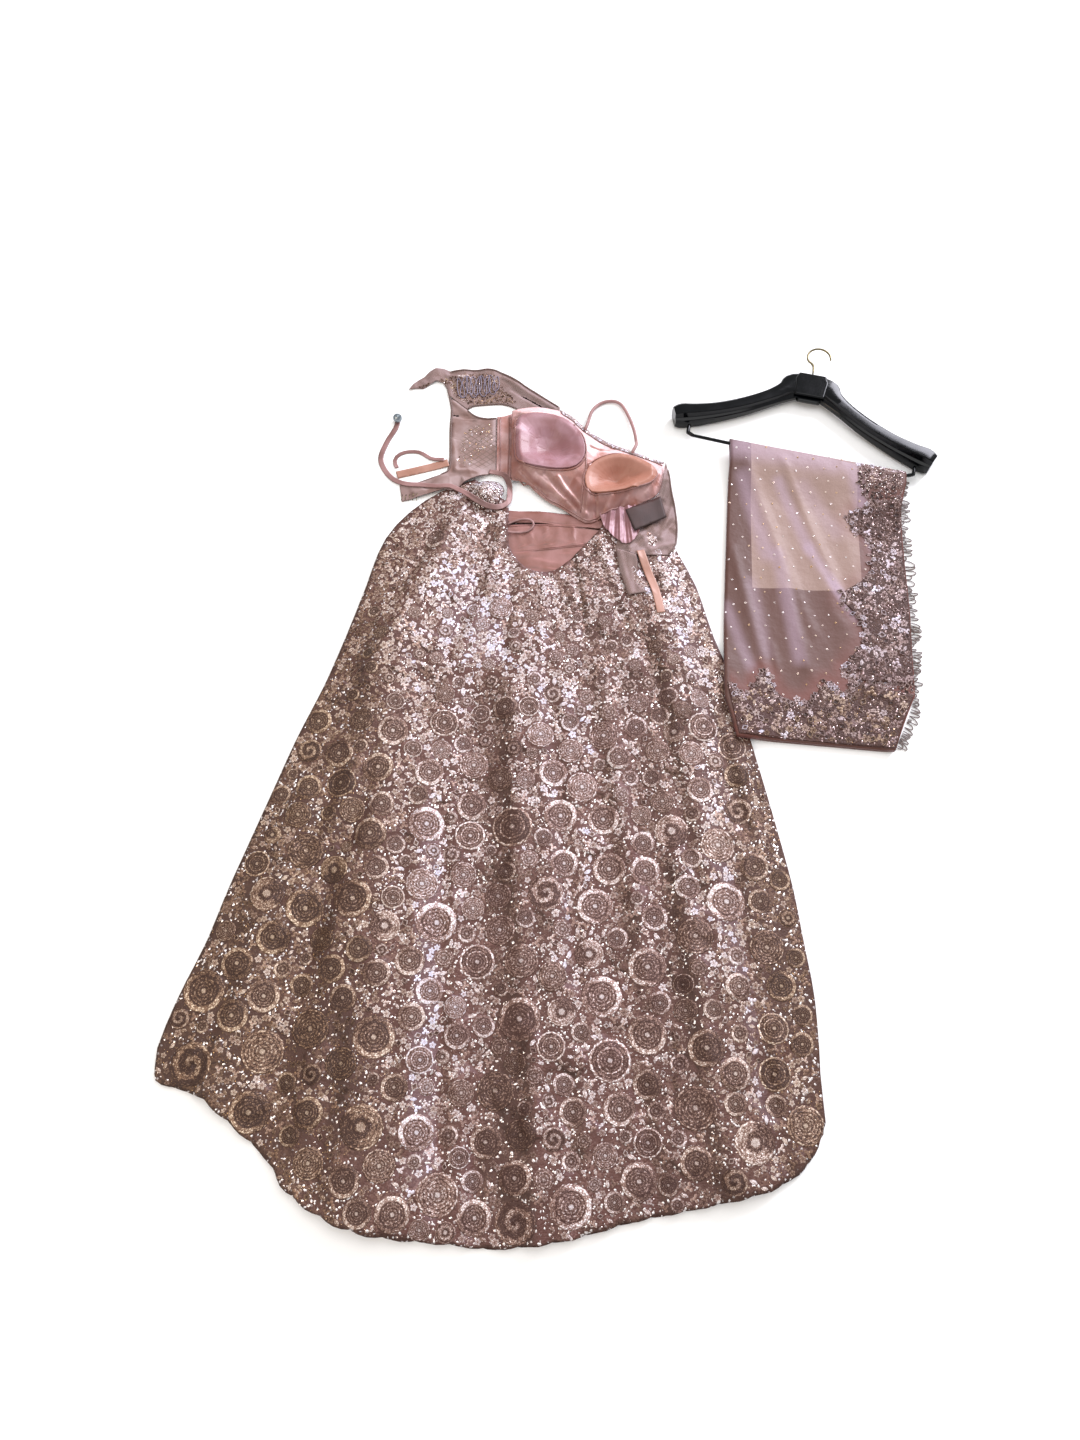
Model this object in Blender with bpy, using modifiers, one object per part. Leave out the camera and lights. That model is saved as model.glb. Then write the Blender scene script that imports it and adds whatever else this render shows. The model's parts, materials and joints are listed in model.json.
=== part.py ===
"""A lehenga choli laid out flat: an embroidered skirt, a one-shoulder blouse lying on its waist
with the inside up, and a net dupatta folded over the bar of a coat hanger beside them.

Metres, +Z up. The plan is seen from above with +Y towards the hanger's hook, and the origin is
the middle of the whole set on the surface that it lies on.
"""

import math
import random

import bpy
import numpy as np
from mathutils import Matrix, Vector
from mathutils.bvhtree import BVHTree
from mathutils.geometry import delaunay_2d_cdt
from mathutils.kdtree import KDTree

# The middle of the laid out set on the plan that the tables below are drawn on
PLAN_MIDDLE = (0.0013, -0.0097)

# Cloth and seams
GAP = 0.0003
SATIN = 0.0012
NET = 0.0010
EMBROIDERED = 0.0025
TRIM = 0.0016
RIBBON = 0.0009
CUP_WALL = 0.0035

# Skirt
SKIRT_BACK_WALL = 0.0020
SKIRT_PLATEAU = 0.008
SIDE_ROLL = 0.075
WAIST_ROLL = 0.060
SCALLOP_WIDTH = 0.042
SCALLOP_DEPTH = 0.0035
FOLD_STEP_ACROSS = 0.023
FOLD_STEP_DOWN = 0.040
CASING_DEPTH = 0.021

# Rosettes of thick applique on the skirt
ROSETTE_SEED = 11
ROSETTE_COUNT = 92
ROSETTE_RAISE = 0.0023
ROSETTE_SIDES = 8
ROSETTE_LEAST = 0.0165
ROSETTE_AT_WAIST = 0.016
ROSETTE_AT_HEM = 0.027

# The skirt's side edges: (y, left x, right x)
SKIRT_SIDES = (
    (0.387, -0.2425, 0.0915),
    (0.335, -0.2955, 0.1265),
    (0.286, -0.3195, 0.1470),
    (0.225, -0.3355, 0.1730),
    (0.140, -0.3605, 0.1945),
    (0.061, -0.3865, 0.2205),
    (-0.021, -0.4195, 0.2370),
    (-0.100, -0.4465, 0.2535),
    (-0.176, -0.4725, 0.2685),
    (-0.250, -0.4975, 0.2815),
    (-0.320, -0.5185, 0.2890),
    (-0.389, -0.5460, 0.2965),
    (-0.455, -0.5660, 0.2965),
    (-0.487, -0.5665, 0.2950),
)
# The hem, from the left corner to the right: (x, y)
SKIRT_HEM = (
    (-0.5585, -0.501), (-0.5085, -0.515), (-0.462, -0.549), (-0.4125, -0.590),
    (-0.3795, -0.631), (-0.3205, -0.665), (-0.2635, -0.680), (-0.1785, -0.688),
    (-0.1225, -0.693), (-0.0385, -0.684), (0.0465, -0.663), (0.1325, -0.647),
    (0.2195, -0.627), (0.2700, -0.596), (0.2960, -0.549),
)
# The front's waist edge with its U-shaped dip, from right to left: (x, y)
WAIST_FRONT = (
    (0.0915, 0.387), (0.0455, 0.358), (0.0265, 0.325), (-0.0055, 0.289), (-0.0365, 0.258),
    (-0.0595, 0.249), (-0.0905, 0.258), (-0.1135, 0.289), (-0.1185, 0.325), (-0.1175, 0.371),
    (-0.1305, 0.386), (-0.1715, 0.420),
)
# The back's waist edge, from right to left: (x, y)
WAIST_BACK = (
    (0.0915, 0.387), (0.0455, 0.352), (-0.0205, 0.357), (-0.0675, 0.363), (-0.1185, 0.365),
    (-0.1400, 0.385), (-0.1715, 0.420),
)
# Long folds: (top x, top y, foot x, foot y, height, reach left, reach right)
SKIRT_FOLDS = (
    (-0.300, 0.200, -0.287, -0.700, 0.0140, 0.115, 0.075),
    (-0.168, 0.080, -0.128, -0.700, -0.0095, 0.050, 0.050),
    (-0.085, 0.160, -0.035, -0.700, 0.0050, 0.060, 0.060),
    (0.000, 0.200, 0.050, -0.700, -0.0040, 0.050, 0.050),
    (0.120, 0.220, 0.190, -0.680, 0.0095, 0.070, 0.060),
    (0.228, -0.280, 0.262, -0.640, -0.0080, 0.034, 0.034),
    (-0.340, 0.060, -0.425, -0.620, -0.0070, 0.042, 0.042),
    (-0.400, -0.080, -0.500, -0.540, 0.0055, 0.040, 0.040),
    (-0.128, 0.340, -0.200, 0.120, -0.0055, 0.028, 0.028),
    (-0.180, 0.360, -0.265, 0.170, 0.0050, 0.030, 0.030),
    (-0.026, 0.250, -0.052, 0.120, -0.0050, 0.026, 0.026),
    (0.040, 0.310, 0.062, 0.130, -0.0045, 0.028, 0.028),
)
FOLD_END_FADE = 0.10

# The blouse's pieces, as plan outlines: (x, y)
NECKLINE = (
    (-0.0345, 0.5525), (-0.0115, 0.534), (0.0125, 0.508), (0.0825, 0.468), (0.1325, 0.449),
)
FRONT_SIDE = ((0.1325, 0.449), (0.1330, 0.420), (0.1180, 0.388), (0.0900, 0.372), (0.0560, 0.356))
FRONT_HEM = (
    (0.0560, 0.356), (0.0255, 0.345), (0.0075, 0.338), (-0.0145, 0.351), (-0.0345, 0.366),
    (-0.0535, 0.377), (-0.0755, 0.397), (-0.0895, 0.412), (-0.1132, 0.418),
)
FRONT_SEAM = ((-0.1132, 0.418), (-0.1132, 0.485), (-0.1132, 0.5525))
FRONT_TOP = ((-0.1132, 0.5525), (-0.1000, 0.557), (-0.0700, 0.560), (-0.0345, 0.5525))
CUP_LEFT = (
    (-0.1045, 0.522), (-0.0825, 0.529), (-0.0525, 0.527), (-0.0275, 0.519), (-0.0070, 0.499),
    (0.0030, 0.476), (0.0045, 0.453), (-0.0020, 0.436), (-0.0175, 0.425), (-0.0455, 0.423),
    (-0.0755, 0.430), (-0.1000, 0.443), (-0.1055, 0.464), (-0.1058, 0.495),
)
CUP_RIGHT = (
    (0.0185, 0.436), (0.0485, 0.450), (0.0815, 0.446), (0.1105, 0.428), (0.1165, 0.415),
    (0.1045, 0.400), (0.0795, 0.390), (0.0435, 0.380), (0.0140, 0.379), (0.0040, 0.393),
    (0.0050, 0.416),
)
CUP_RIM_HEIGHT = 0.030
CUP_FLOOR = 0.0015
CUP_EASE = 0.55
FRONT_EDGE_HEIGHT = 0.006
FRONT_STEP = 0.0125

WING_LEFT = (
    ((-0.2205, 0.5885), (-0.2155, 0.561), (-0.2165, 0.521), (-0.2155, 0.482), (-0.2155, 0.457),
     (-0.2195, 0.437), (-0.2455, 0.4245), (-0.2720, 0.4135), (-0.2935, 0.4130)),
    ((-0.2935, 0.4130), (-0.2905, 0.3960), (-0.2880, 0.3815)),
    ((-0.2880, 0.3815), (-0.2575, 0.390), (-0.2225, 0.400), (-0.2045, 0.396), (-0.1865, 0.413),
     (-0.1600, 0.426), (-0.1388, 0.436)),
    ((-0.1388, 0.436), (-0.1388, 0.5450)),
    ((-0.1388, 0.5450), (-0.1560, 0.544), (-0.1745, 0.549), (-0.1870, 0.5600), (-0.2205, 0.5885)),
)
BONING_CHANNEL = (
    ((-0.1383, 0.4360), (-0.1383, 0.5450)),
    ((-0.1383, 0.5450), (-0.1260, 0.5470), (-0.1138, 0.5520)),
    ((-0.1138, 0.5520), (-0.1138, 0.4250)),
    ((-0.1138, 0.4250), (-0.1383, 0.4360)),
)
SHOULDER_BAND = (
    ((-0.2208, 0.5892), (-0.2240, 0.6050), (-0.2300, 0.6150)),
    ((-0.2300, 0.6150), (-0.2395, 0.6190), (-0.2545, 0.6090), (-0.2645, 0.6030), (-0.2780, 0.6040),
     (-0.2870, 0.6010)),
    ((-0.2870, 0.6010), (-0.2765, 0.6160), (-0.2605, 0.6290), (-0.2495, 0.6410), (-0.2355, 0.6450),
     (-0.2190, 0.6400)),
    ((-0.2190, 0.6400), (-0.1845, 0.6420), (-0.1515, 0.6430), (-0.1295, 0.6360), (-0.1095, 0.6220),
     (-0.0845, 0.6040), (-0.0595, 0.5850), (-0.0345, 0.5660)),
    ((-0.0345, 0.5660), (-0.0345, 0.5530)),
    ((-0.0345, 0.5530), (-0.0700, 0.5605), (-0.1000, 0.5575)),
    ((-0.1000, 0.5575), (-0.1110, 0.5640), (-0.1285, 0.5705), (-0.1505, 0.5700), (-0.1800, 0.5665),
     (-0.1873, 0.5605)),
    ((-0.1873, 0.5605), (-0.2208, 0.5892)),
)
WING_RIGHT = (
    ((0.1345, 0.4460), (0.1410, 0.405), (0.1485, 0.364), (0.1497, 0.330), (0.1455, 0.298),
     (0.1335, 0.279)),
    ((0.1335, 0.279), (0.1100, 0.2765), (0.0820, 0.2765)),
    ((0.0820, 0.2765), (0.0500, 0.2890)),
    ((0.0500, 0.2890), (0.0560, 0.320), (0.0600, 0.350)),
    ((0.0600, 0.350), (0.0930, 0.3700), (0.1205, 0.3860), (0.1345, 0.4460)),
)
TAB_RIGHT = (
    ((0.0502, 0.2880), (0.0545, 0.257), (0.0610, 0.226), (0.0675, 0.204)),
    ((0.0675, 0.204), (0.0815, 0.208), (0.0985, 0.2085)),
    ((0.0985, 0.2085), (0.0825, 0.222), (0.0800, 0.240), (0.0835, 0.257), (0.0815, 0.2757)),
    ((0.0815, 0.2757), (0.0502, 0.2880)),
)
GATHERS = (
    ((0.0265, 0.3500), (0.0330, 0.330), (0.0455, 0.311), (0.0600, 0.296)),
    ((0.0600, 0.296), (0.0750, 0.297), (0.0880, 0.319)),
    ((0.0880, 0.319), (0.0850, 0.345), (0.0830, 0.366)),
    ((0.0830, 0.366), (0.0560, 0.3600), (0.0265, 0.3500)),
)
GATHER_PLEATS = 7
GATHER_HEIGHT = 0.0030
LABEL = ((0.0665, 0.354), (0.1235, 0.381), (0.1315, 0.344), (0.0800, 0.3165))
WAIST_CORNER = (
    (-0.1825, 0.396), (-0.1745, 0.407), (-0.1545, 0.414), (-0.1345, 0.414), (-0.1265, 0.404),
    (-0.1285, 0.388), (-0.1385, 0.371), (-0.1515, 0.360), (-0.1680, 0.366), (-0.1790, 0.380),
)
WAIST_CORNER_HEIGHT = 0.011

# Ribbons: name, width, centre line as (x, y)
RIBBONS = (
    ("ribbon_left_wide", 0.0140, ((-0.2990, 0.4325), (-0.2600, 0.443), (-0.2160, 0.4555))),
    ("ribbon_left_loop", 0.0065, (
        (-0.2990, 0.446), (-0.3035, 0.458), (-0.2990, 0.470), (-0.2855, 0.477), (-0.2655, 0.477),
        (-0.2535, 0.470), (-0.2425, 0.463), (-0.2230, 0.461))),
    ("ribbon_left_long", 0.0085, (
        (-0.3025, 0.539), (-0.3050, 0.524), (-0.3175, 0.498), (-0.3265, 0.467), (-0.3205, 0.445),
        (-0.3040, 0.424), (-0.2815, 0.4135), (-0.2555, 0.410), (-0.2305, 0.4055), (-0.2125, 0.4045),
        (-0.1965, 0.396), (-0.1835, 0.386), (-0.1705, 0.374), (-0.1525, 0.364), (-0.1335, 0.364),
        (-0.1190, 0.375), (-0.1160, 0.392), (-0.1170, 0.412), (-0.1270, 0.430), (-0.1495, 0.436))),
    ("ribbon_right", 0.0125, ((0.0880, 0.283), (0.0990, 0.245), (0.1090, 0.210), (0.1150, 0.172))),
    ("skirt_hanging_loop", 0.0035, (
        (-0.1210, 0.3350), (-0.1000, 0.3440), (-0.0840, 0.3440), (-0.0775, 0.3350), (-0.0850, 0.3240),
        (-0.1000, 0.3205), (-0.1210, 0.3220))),
)
STRAP_RADIUS = 0.0030
STRAP_SINK = 0.0008
STRAP_STARTS = ((0.0055, 0.5050), (0.0800, 0.4590))
STRAP_ROUTE = (
    # (x, y, height of the strap's middle)
    (0.0125, 0.5330, 0.0090), (0.0185, 0.555, 0.0050),
    (0.0315, 0.571, 0.0032), (0.0495, 0.577, 0.0032), (0.0665, 0.571, 0.0032),
    (0.0790, 0.545, 0.0040), (0.0868, 0.515, 0.0065), (0.0890, 0.4900, 0.0105),
)
STRAP_OFF_EDGE = ((0.0100, 0.5190), (0.0875, 0.4745))
BEAD_AT_TIP = (-0.3022, 0.5390)
BEAD_RADIUS = 0.0060

# Dupatta and hanger, in the hanger's own frame: x along it, y towards its hook
HANGER_CENTRE = (0.387, 0.620)
HANGER_TURN = math.radians(-12.9)
HANGER_MID_HEIGHT = 0.0170
# The arm from the middle to its end: (x, y, half depth in plan, half thickness)
HANGER_ARM = (
    (0.000, -0.031, 0.0270, 0.0075), (0.026, -0.033, 0.0250, 0.0075), (0.040, -0.045, 0.0175, 0.0080),
    (0.064, -0.064, 0.0135, 0.0090), (0.100, -0.088, 0.0130, 0.0110), (0.140, -0.109, 0.0130, 0.0135),
    (0.175, -0.123, 0.0145, 0.0160), (0.198, -0.130, 0.0160, 0.0170), (0.2105, -0.135, 0.0125, 0.0140),
)
HANGER_SECTION_SIDES = 12
BAR_RADIUS = 0.0035
BAR_DROP = -0.1680
BAR_HALF = 0.1830
HOOK_RADIUS = 0.0019
HOOK_BASE = -0.0035
HOOK_NECK = 0.020
HOOK_BEND = 0.0195

DUPATTA_WALL = 0.0042
DUPATTA_LEFT = -0.1130
DUPATTA_RIGHT = 0.1700
DUPATTA_COLUMNS = 15
# Rows down from the bar, and over how far the cloth comes down from it
DUPATTA_DROPS = (
    0.015, 0.032, 0.055, 0.085, 0.120, 0.155, 0.190, 0.225, 0.260, 0.295, 0.330, 0.365, 0.400, 0.430,
    0.455, 0.475, 0.490,
)
DUPATTA_FALL = 0.085
# The folded cloth's left and right edges down from the bar: (y, left x, right x)
DUPATTA_EDGES = (
    (0.490, 0.2410, 0.5180), (0.440, 0.2370, 0.5120), (0.387, 0.2320, 0.5050), (0.278, 0.2220, 0.4985),
    (0.178, 0.2130, 0.4955), (0.083, 0.2060, 0.4875), (0.040, 0.2040, 0.4840), (0.000, 0.2130, 0.4640),
    (-0.050, 0.2230, 0.4430),
)
DUPATTA_FOOT = (-0.024, -0.046)
# Soft folds in the dupatta: (top x, top y, foot x, foot y, height, reach)
DUPATTA_FOLDS = (
    (0.270, 0.440, 0.330, 0.080, 0.0040, 0.022), (0.330, 0.440, 0.395, 0.120, 0.0035, 0.020),
    (0.400, 0.430, 0.425, 0.180, 0.0030, 0.018), (0.235, 0.300, 0.262, 0.050, 0.0030, 0.018),
)
# The beaded border's inner edge, down the side and then along the foot: (x, y)
BORDER_SIDE_INNER = (
    (0.4640, 0.372), (0.4500, 0.364), (0.4235, 0.352), (0.4205, 0.330),
    (0.4485, 0.299), (0.4375, 0.242), (0.3925, 0.207), (0.4115, 0.173), (0.4205, 0.135),
    (0.3865, 0.088), (0.3965, 0.0660),
)
BORDER_FOOT_INNER = (
    (0.2085, 0.0600), (0.2335, 0.042), (0.2655, 0.079), (0.2835, 0.042), (0.3255, 0.032),
    (0.3575, 0.064), (0.3790, 0.0450), (0.3960, 0.0640),
)
FRINGE_LENGTH = 0.014
FRINGE_WIDTH = 0.0016
FRINGE_PITCH = 0.0090
FRINGE_STRIP = 0.0035

COLOURS = {
    # name: (red, green, blue, roughness, metallic)
    "embroidered_net": (0.30, 0.17, 0.155, 0.55, 0.15),
    "beadwork": (0.52, 0.44, 0.42, 0.35, 0.35),
    "satin": (0.55, 0.27, 0.24, 0.38, 0.0),
    "pink_satin": (0.62, 0.36, 0.40, 0.35, 0.0),
    "blouse_net": (0.42, 0.27, 0.23, 0.65, 0.0),
    "ribbon": (0.48, 0.27, 0.25, 0.45, 0.0),
    "peach_ribbon": (0.68, 0.38, 0.29, 0.45, 0.0),
    "label": (0.075, 0.035, 0.030, 0.5, 0.0),
    "crystal": (0.72, 0.74, 0.74, 0.08, 0.0),
    "veil": (0.45, 0.25, 0.23, 0.6, 0.0),
    "black_plastic": (0.012, 0.013, 0.016, 0.28, 0.0),
    "chrome": (0.70, 0.68, 0.64, 0.15, 1.0),
}


def smooth_line(points, step, closed=False):
    """Points about a step apart along a Catmull-Rom curve through the given ones, ends kept."""
    known = np.array(points, float)
    if len(known) < 3:
        dense = known
    else:
        if closed:
            padded = np.vstack([known[-1:], known, known[:2]])
        else:
            padded = np.vstack([2 * known[0] - known[1], known, 2 * known[-1] - known[-2]])
        share = np.linspace(0, 1, 12, endpoint=False)[:, None]
        spans = []
        for i in range(len(padded) - 3):
            a, b, c, d = padded[i:i + 4]
            spans.append(0.5 * (2 * b + (c - a) * share + (2 * a - 5 * b + 4 * c - d) * share**2
                                + (3 * b - a - 3 * c + d) * share**3))
        dense = np.vstack(spans + [padded[-2:-1]])
    along = np.concatenate([[0], np.cumsum(np.linalg.norm(np.diff(dense, axis=0), axis=1))])
    count = max(1, round(along[-1] / step))
    at = np.linspace(0, along[-1], count + 1)
    line = np.stack([np.interp(at, along, dense[:, k]) for k in range(dense.shape[1])], axis=1)
    return line[:-1] if closed else line


def closed_outline(sides, step):
    """One closed outline from smooth sides that meet at corners."""
    return np.vstack([smooth_line(side, step)[:-1] for side in sides])


def inside(points, outline):
    """Which plan points lie inside a closed outline."""
    x, y = points[:, :1], points[:, 1:2]
    a, b = outline, np.roll(outline, -1, axis=0)
    crosses = (a[:, 1] > y) != (b[:, 1] > y)
    rise = np.where(b[:, 1] == a[:, 1], 1.0, b[:, 1] - a[:, 1])
    at = a[:, 0] + (y - a[:, 1]) * (b[:, 0] - a[:, 0]) / rise
    return (np.sum(crosses & (x < at), axis=1) % 2) == 1


def line_distance(points, line):
    """Each point's distance to the nearest stretch of an open line."""
    best = np.full(len(points), np.inf)
    for a, b in zip(line[:-1], line[1:]):
        along = b - a
        share = np.clip((points - a) @ along / max(along @ along, 1e-12), 0, 1)
        best = np.minimum(best, np.linalg.norm(points - a - share[:, None] * along, axis=1))
    return best


def edge_distance(points, outline):
    """Each point's distance to a closed outline."""
    return line_distance(points, np.vstack([outline, outline[:1]]))


def ease(value):
    """Smooth step from 0 to 1."""
    value = np.clip(value, 0, 1)
    return value * value * (3 - 2 * value)


def grid_inside(outline, across, down, margin):
    """Staggered grid points inside an outline, at least a margin from it."""
    low, high = outline.min(axis=0), outline.max(axis=0)
    found = []
    for i, y in enumerate(np.arange(low[1] + down / 2, high[1], down)):
        shift = across / 2 * (i % 2)
        found += [(x, y) for x in np.arange(low[0] + shift, high[0], across)]
    found = np.array(found)
    found = found[inside(found, outline)]
    return found[edge_distance(found, outline) > margin]


def triangulate(outline, points=(), lines=()):
    """A constrained Delaunay triangulation of an outline, its inner points and inner lines."""
    every = [tuple(p) for p in outline]
    face = list(range(len(every)))
    edges = []
    for line in lines:
        start = len(every)
        every += [tuple(p) for p in line]
        edges += [(i, i + 1) for i in range(start, len(every) - 1)]
    every += [tuple(p) for p in points]
    flat = [Vector((float(p[0]), float(p[1]))) for p in every]
    made = delaunay_2d_cdt(flat, edges, [face], 1, 1e-6)
    plan = np.array([tuple(v) for v in made[0]])
    triangles = []
    for a, b, c in made[2]:
        turn = np.cross(plan[b] - plan[a], plan[c] - plan[a])
        if abs(turn) > 1e-10:
            triangles.append((a, b, c) if turn > 0 else (a, c, b))
    return plan, triangles


def rim_of(triangles):
    """The directed edges that only one triangle uses."""
    used = {}
    for a, b, c in triangles:
        for edge in ((a, b), (b, c), (c, a)):
            used[edge] = True
    return [edge for edge in used if (edge[1], edge[0]) not in used]


def only_used(points, triangles):
    """The same triangles with the points that none of them uses left out."""
    kept = sorted({i for t in triangles for i in t})
    place = {old: new for new, old in enumerate(kept)}
    return points[kept], [tuple(place[i] for i in t) for t in triangles]


def fold_heights(points, folds, fade):
    """The summed height of long folds: each a soft ridge, or a trough, about a straight line."""
    total = np.zeros(len(points))
    for fold in folds:
        top, foot = np.array(fold[0:2]), np.array(fold[2:4])
        height, reach_left, reach_right = fold[4], fold[5], fold[-1]
        along = foot - top
        length = np.linalg.norm(along)
        along = along / length
        down = (points - top) @ along
        side = (points - top) @ np.array([-along[1], along[0]])
        reach = np.where(side < 0, reach_left, reach_right)
        across = np.cos(np.clip(np.abs(side) / reach, 0, 1) * math.pi / 2) ** 2
        ends = ease(down / fade + 0.5) * ease((length - down) / fade + 0.5)
        total += height * across * ends
    return total


class Pile:
    """What has been laid down so far, and how high its top is around a point."""

    def __init__(self):
        self.layers = []

    def add(self, *objects):
        """Adds objects as their modifiers leave them."""
        bpy.context.view_layer.update()
        graph = bpy.context.evaluated_depsgraph_get()
        for obj in objects:
            evaluated = obj.evaluated_get(graph)
            mesh = evaluated.to_mesh()
            world = obj.matrix_world
            points = [world @ v.co for v in mesh.vertices]
            faces = [tuple(p.vertices) for p in mesh.polygons]
            evaluated.to_mesh_clear()
            flat = KDTree(len(points))
            for i, p in enumerate(points):
                flat.insert((p.x, p.y, 0), i)
            flat.balance()
            self.layers.append((BVHTree.FromPolygons(points, faces), flat, points))

    def top(self, x, y, reach):
        """The highest point of the layers within reach of a place, or None over bare floor."""
        found = []
        ring = [(x, y)]
        for turn in range(8):
            angle = turn * math.pi / 4
            ring.append((x + reach * math.cos(angle), y + reach * math.sin(angle)))
        for tree, flat, points in self.layers:
            found += [points[i].z for _, i, _ in flat.find_range((x, y, 0), reach)]
            for px, py in ring:
                hit = tree.ray_cast(Vector((px, py, 1)), Vector((0, 0, -1)))[0]
                if hit is not None:
                    found.append(hit.z)
        return max(found) if found else None

    def slack(self, points, faces):
        """How far laid cloth can sink before it is two seam gaps above what it lies on."""
        sheet = BVHTree.FromPolygons([Vector(p) for p in points], faces)
        low, high = points[:, :2].min(axis=0), points[:, :2].max(axis=0)
        probes = [*points, *(points[list(f)].mean(axis=0) for f in faces)]
        least = np.inf
        for tree, _, known in self.layers:
            for probe in probes:
                hit = tree.ray_cast(Vector(probe), Vector((0, 0, -1)))
                if hit[0] is not None:
                    least = min(least, hit[3])
            for p in known:
                if low[0] < p.x < high[0] and low[1] < p.y < high[1]:
                    hit = sheet.ray_cast(p, Vector((0, 0, 1)))
                    if hit[0] is not None:
                        least = min(least, hit[3])
        if not np.isfinite(least):
            return 0.0
        return max(0.0, min(least - 2 * GAP, points[:, 2].min()))

    def rest(self, plan, reach):
        """The height of cloth that lies on the pile at each plan point, 0 on the floor."""
        heights = []
        for x, y in plan:
            top = self.top(x, y, reach)
            heights.append(0.0 if top is None else top + GAP)
        return np.array(heights)


PILE = Pile()


def material_named(name):
    """The Principled material of one finish, made once."""
    made = bpy.data.materials.get(name)
    if made is None:
        red, green, blue, roughness, metallic = COLOURS[name]
        made = bpy.data.materials.new(name)
        made.use_nodes = True
        shader = made.node_tree.nodes["Principled BSDF"]
        shader.inputs["Base Color"].default_value = (red, green, blue, 1)
        shader.inputs["Roughness"].default_value = roughness
        shader.inputs["Metallic"].default_value = metallic
        made.diffuse_color = (red, green, blue, 1)
    return made


def add_object(name, data, finish, smooth=True):
    """Links an object for a mesh or curve to the set's collection, with its finish."""
    obj = bpy.data.objects.new(name, data)
    SET.objects.link(obj)
    data.materials.append(material_named(finish))
    if smooth and isinstance(data, bpy.types.Mesh):
        data.shade_smooth()
    return obj


def mesh_object(name, points, faces, finish, smooth=True):
    """A mesh object from points and faces."""
    mesh = bpy.data.meshes.new(name)
    mesh.from_pydata([tuple(map(float, p)) for p in points], [], faces)
    mesh.validate()
    mesh.update()
    return add_object(name, mesh, finish, smooth)


def thicken(obj, wall):
    """Gives an open surface its wall, on the upper side."""
    solidify = obj.modifiers.new("Wall", "SOLIDIFY")
    solidify.thickness = wall
    solidify.offset = 1
    return obj


def upper_points(obj):
    """The upper side of a thickened sheet, point for point with its own mesh."""
    bpy.context.view_layer.update()
    graph = bpy.context.evaluated_depsgraph_get()
    evaluated = obj.evaluated_get(graph)
    mesh = evaluated.to_mesh()
    count = len(obj.data.vertices)
    points = np.array([tuple(v.co) for v in mesh.vertices])[:count]
    evaluated.to_mesh_clear()
    return points


def bridge(heights, triangles, passes):
    """Lets cloth span hollows: a point never sinks below the mean of its neighbours."""
    near = [set() for _ in heights]
    for a, b, c in triangles:
        near[a] |= {b, c}
        near[b] |= {a, c}
        near[c] |= {a, b}
    for _ in range(passes):
        mean = np.array([np.mean([heights[j] for j in n]) if n else h for n, h in zip(near, heights)])
        heights = np.maximum(heights, heights + 0.6 * np.maximum(0, mean - heights))
    return heights


def lay_sheet(name, outline, step, wall, finish, reach=None, lift=None, passes=2, lines=()):
    """A cloth wall cut to a plan outline and laid on the pile."""
    inner = grid_inside(outline, step, step * 0.9, step * 0.45)
    plan, triangles = triangulate(outline, inner, lines)
    heights = PILE.rest(plan, reach or step)
    heights = bridge(heights, triangles, passes)
    if lift is not None:
        heights = heights + lift(plan)
    heights = heights - PILE.slack(np.column_stack([plan, heights]), triangles)
    obj = mesh_object(name, np.column_stack([plan, heights]), triangles, finish)
    thicken(obj, wall)
    PILE.add(obj)
    return obj


def lay_ribbon(name, centre, width, wall, finish, step=0.0080, reach=0.006, passes=6):
    """A flat ribbon along a centre line, laid on the pile."""
    line = smooth_line(centre, step)
    along = np.gradient(line, axis=0)
    along /= np.linalg.norm(along, axis=1)[:, None]
    side = np.column_stack([-along[:, 1], along[:, 0]]) * width / 2
    plan = np.vstack([line + side, line, line - side])
    count = len(line)
    triangles = []
    for row in range(2):
        for i in range(count - 1):
            a, b = row * count + i, row * count + i + 1
            c, d = a + count, b + count
            triangles += [(a, c, b), (b, c, d)]
    heights = bridge(PILE.rest(plan, reach), triangles, passes)
    heights = heights - PILE.slack(np.column_stack([plan, heights]), triangles)
    obj = mesh_object(name, np.column_stack([plan, heights]), triangles, finish)
    thicken(obj, wall)
    PILE.add(obj)
    return obj


def patch_of(name, base_obj, plan, triangles, region, wall, finish, out=0.0004):
    """A piece that lies on a sheet: the sheet's own upper points inside a region, moved out."""
    middles = np.array([plan[list(t)].mean(axis=0) for t in triangles])
    chosen = [t for t, ok in zip(triangles, inside(middles, region)) if ok]
    upper = upper_points(base_obj)
    points, faces = only_used(upper, chosen)
    normals = np.zeros_like(points)
    for a, b, c in faces:
        turn = np.cross(points[b] - points[a], points[c] - points[a])
        for i in (a, b, c):
            normals[i] += turn
    normals /= np.linalg.norm(normals, axis=1)[:, None]
    obj = mesh_object(name, points + normals * out, faces, finish)
    return thicken(obj, wall)


def tube(name, route, radius, finish, resolution=2, closed=False):
    """A round wire, strap or rail along a route."""
    curve = bpy.data.curves.new(name, "CURVE")
    curve.dimensions = "3D"
    curve.bevel_depth = radius
    curve.bevel_resolution = resolution
    curve.use_fill_caps = True
    spline = curve.splines.new("POLY")
    spline.points.add(len(route) - 1)
    for point, place in zip(spline.points, route):
        point.co = (*map(float, place), 1)
    spline.use_cyclic_u = closed
    return add_object(name, curve, finish)


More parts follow.
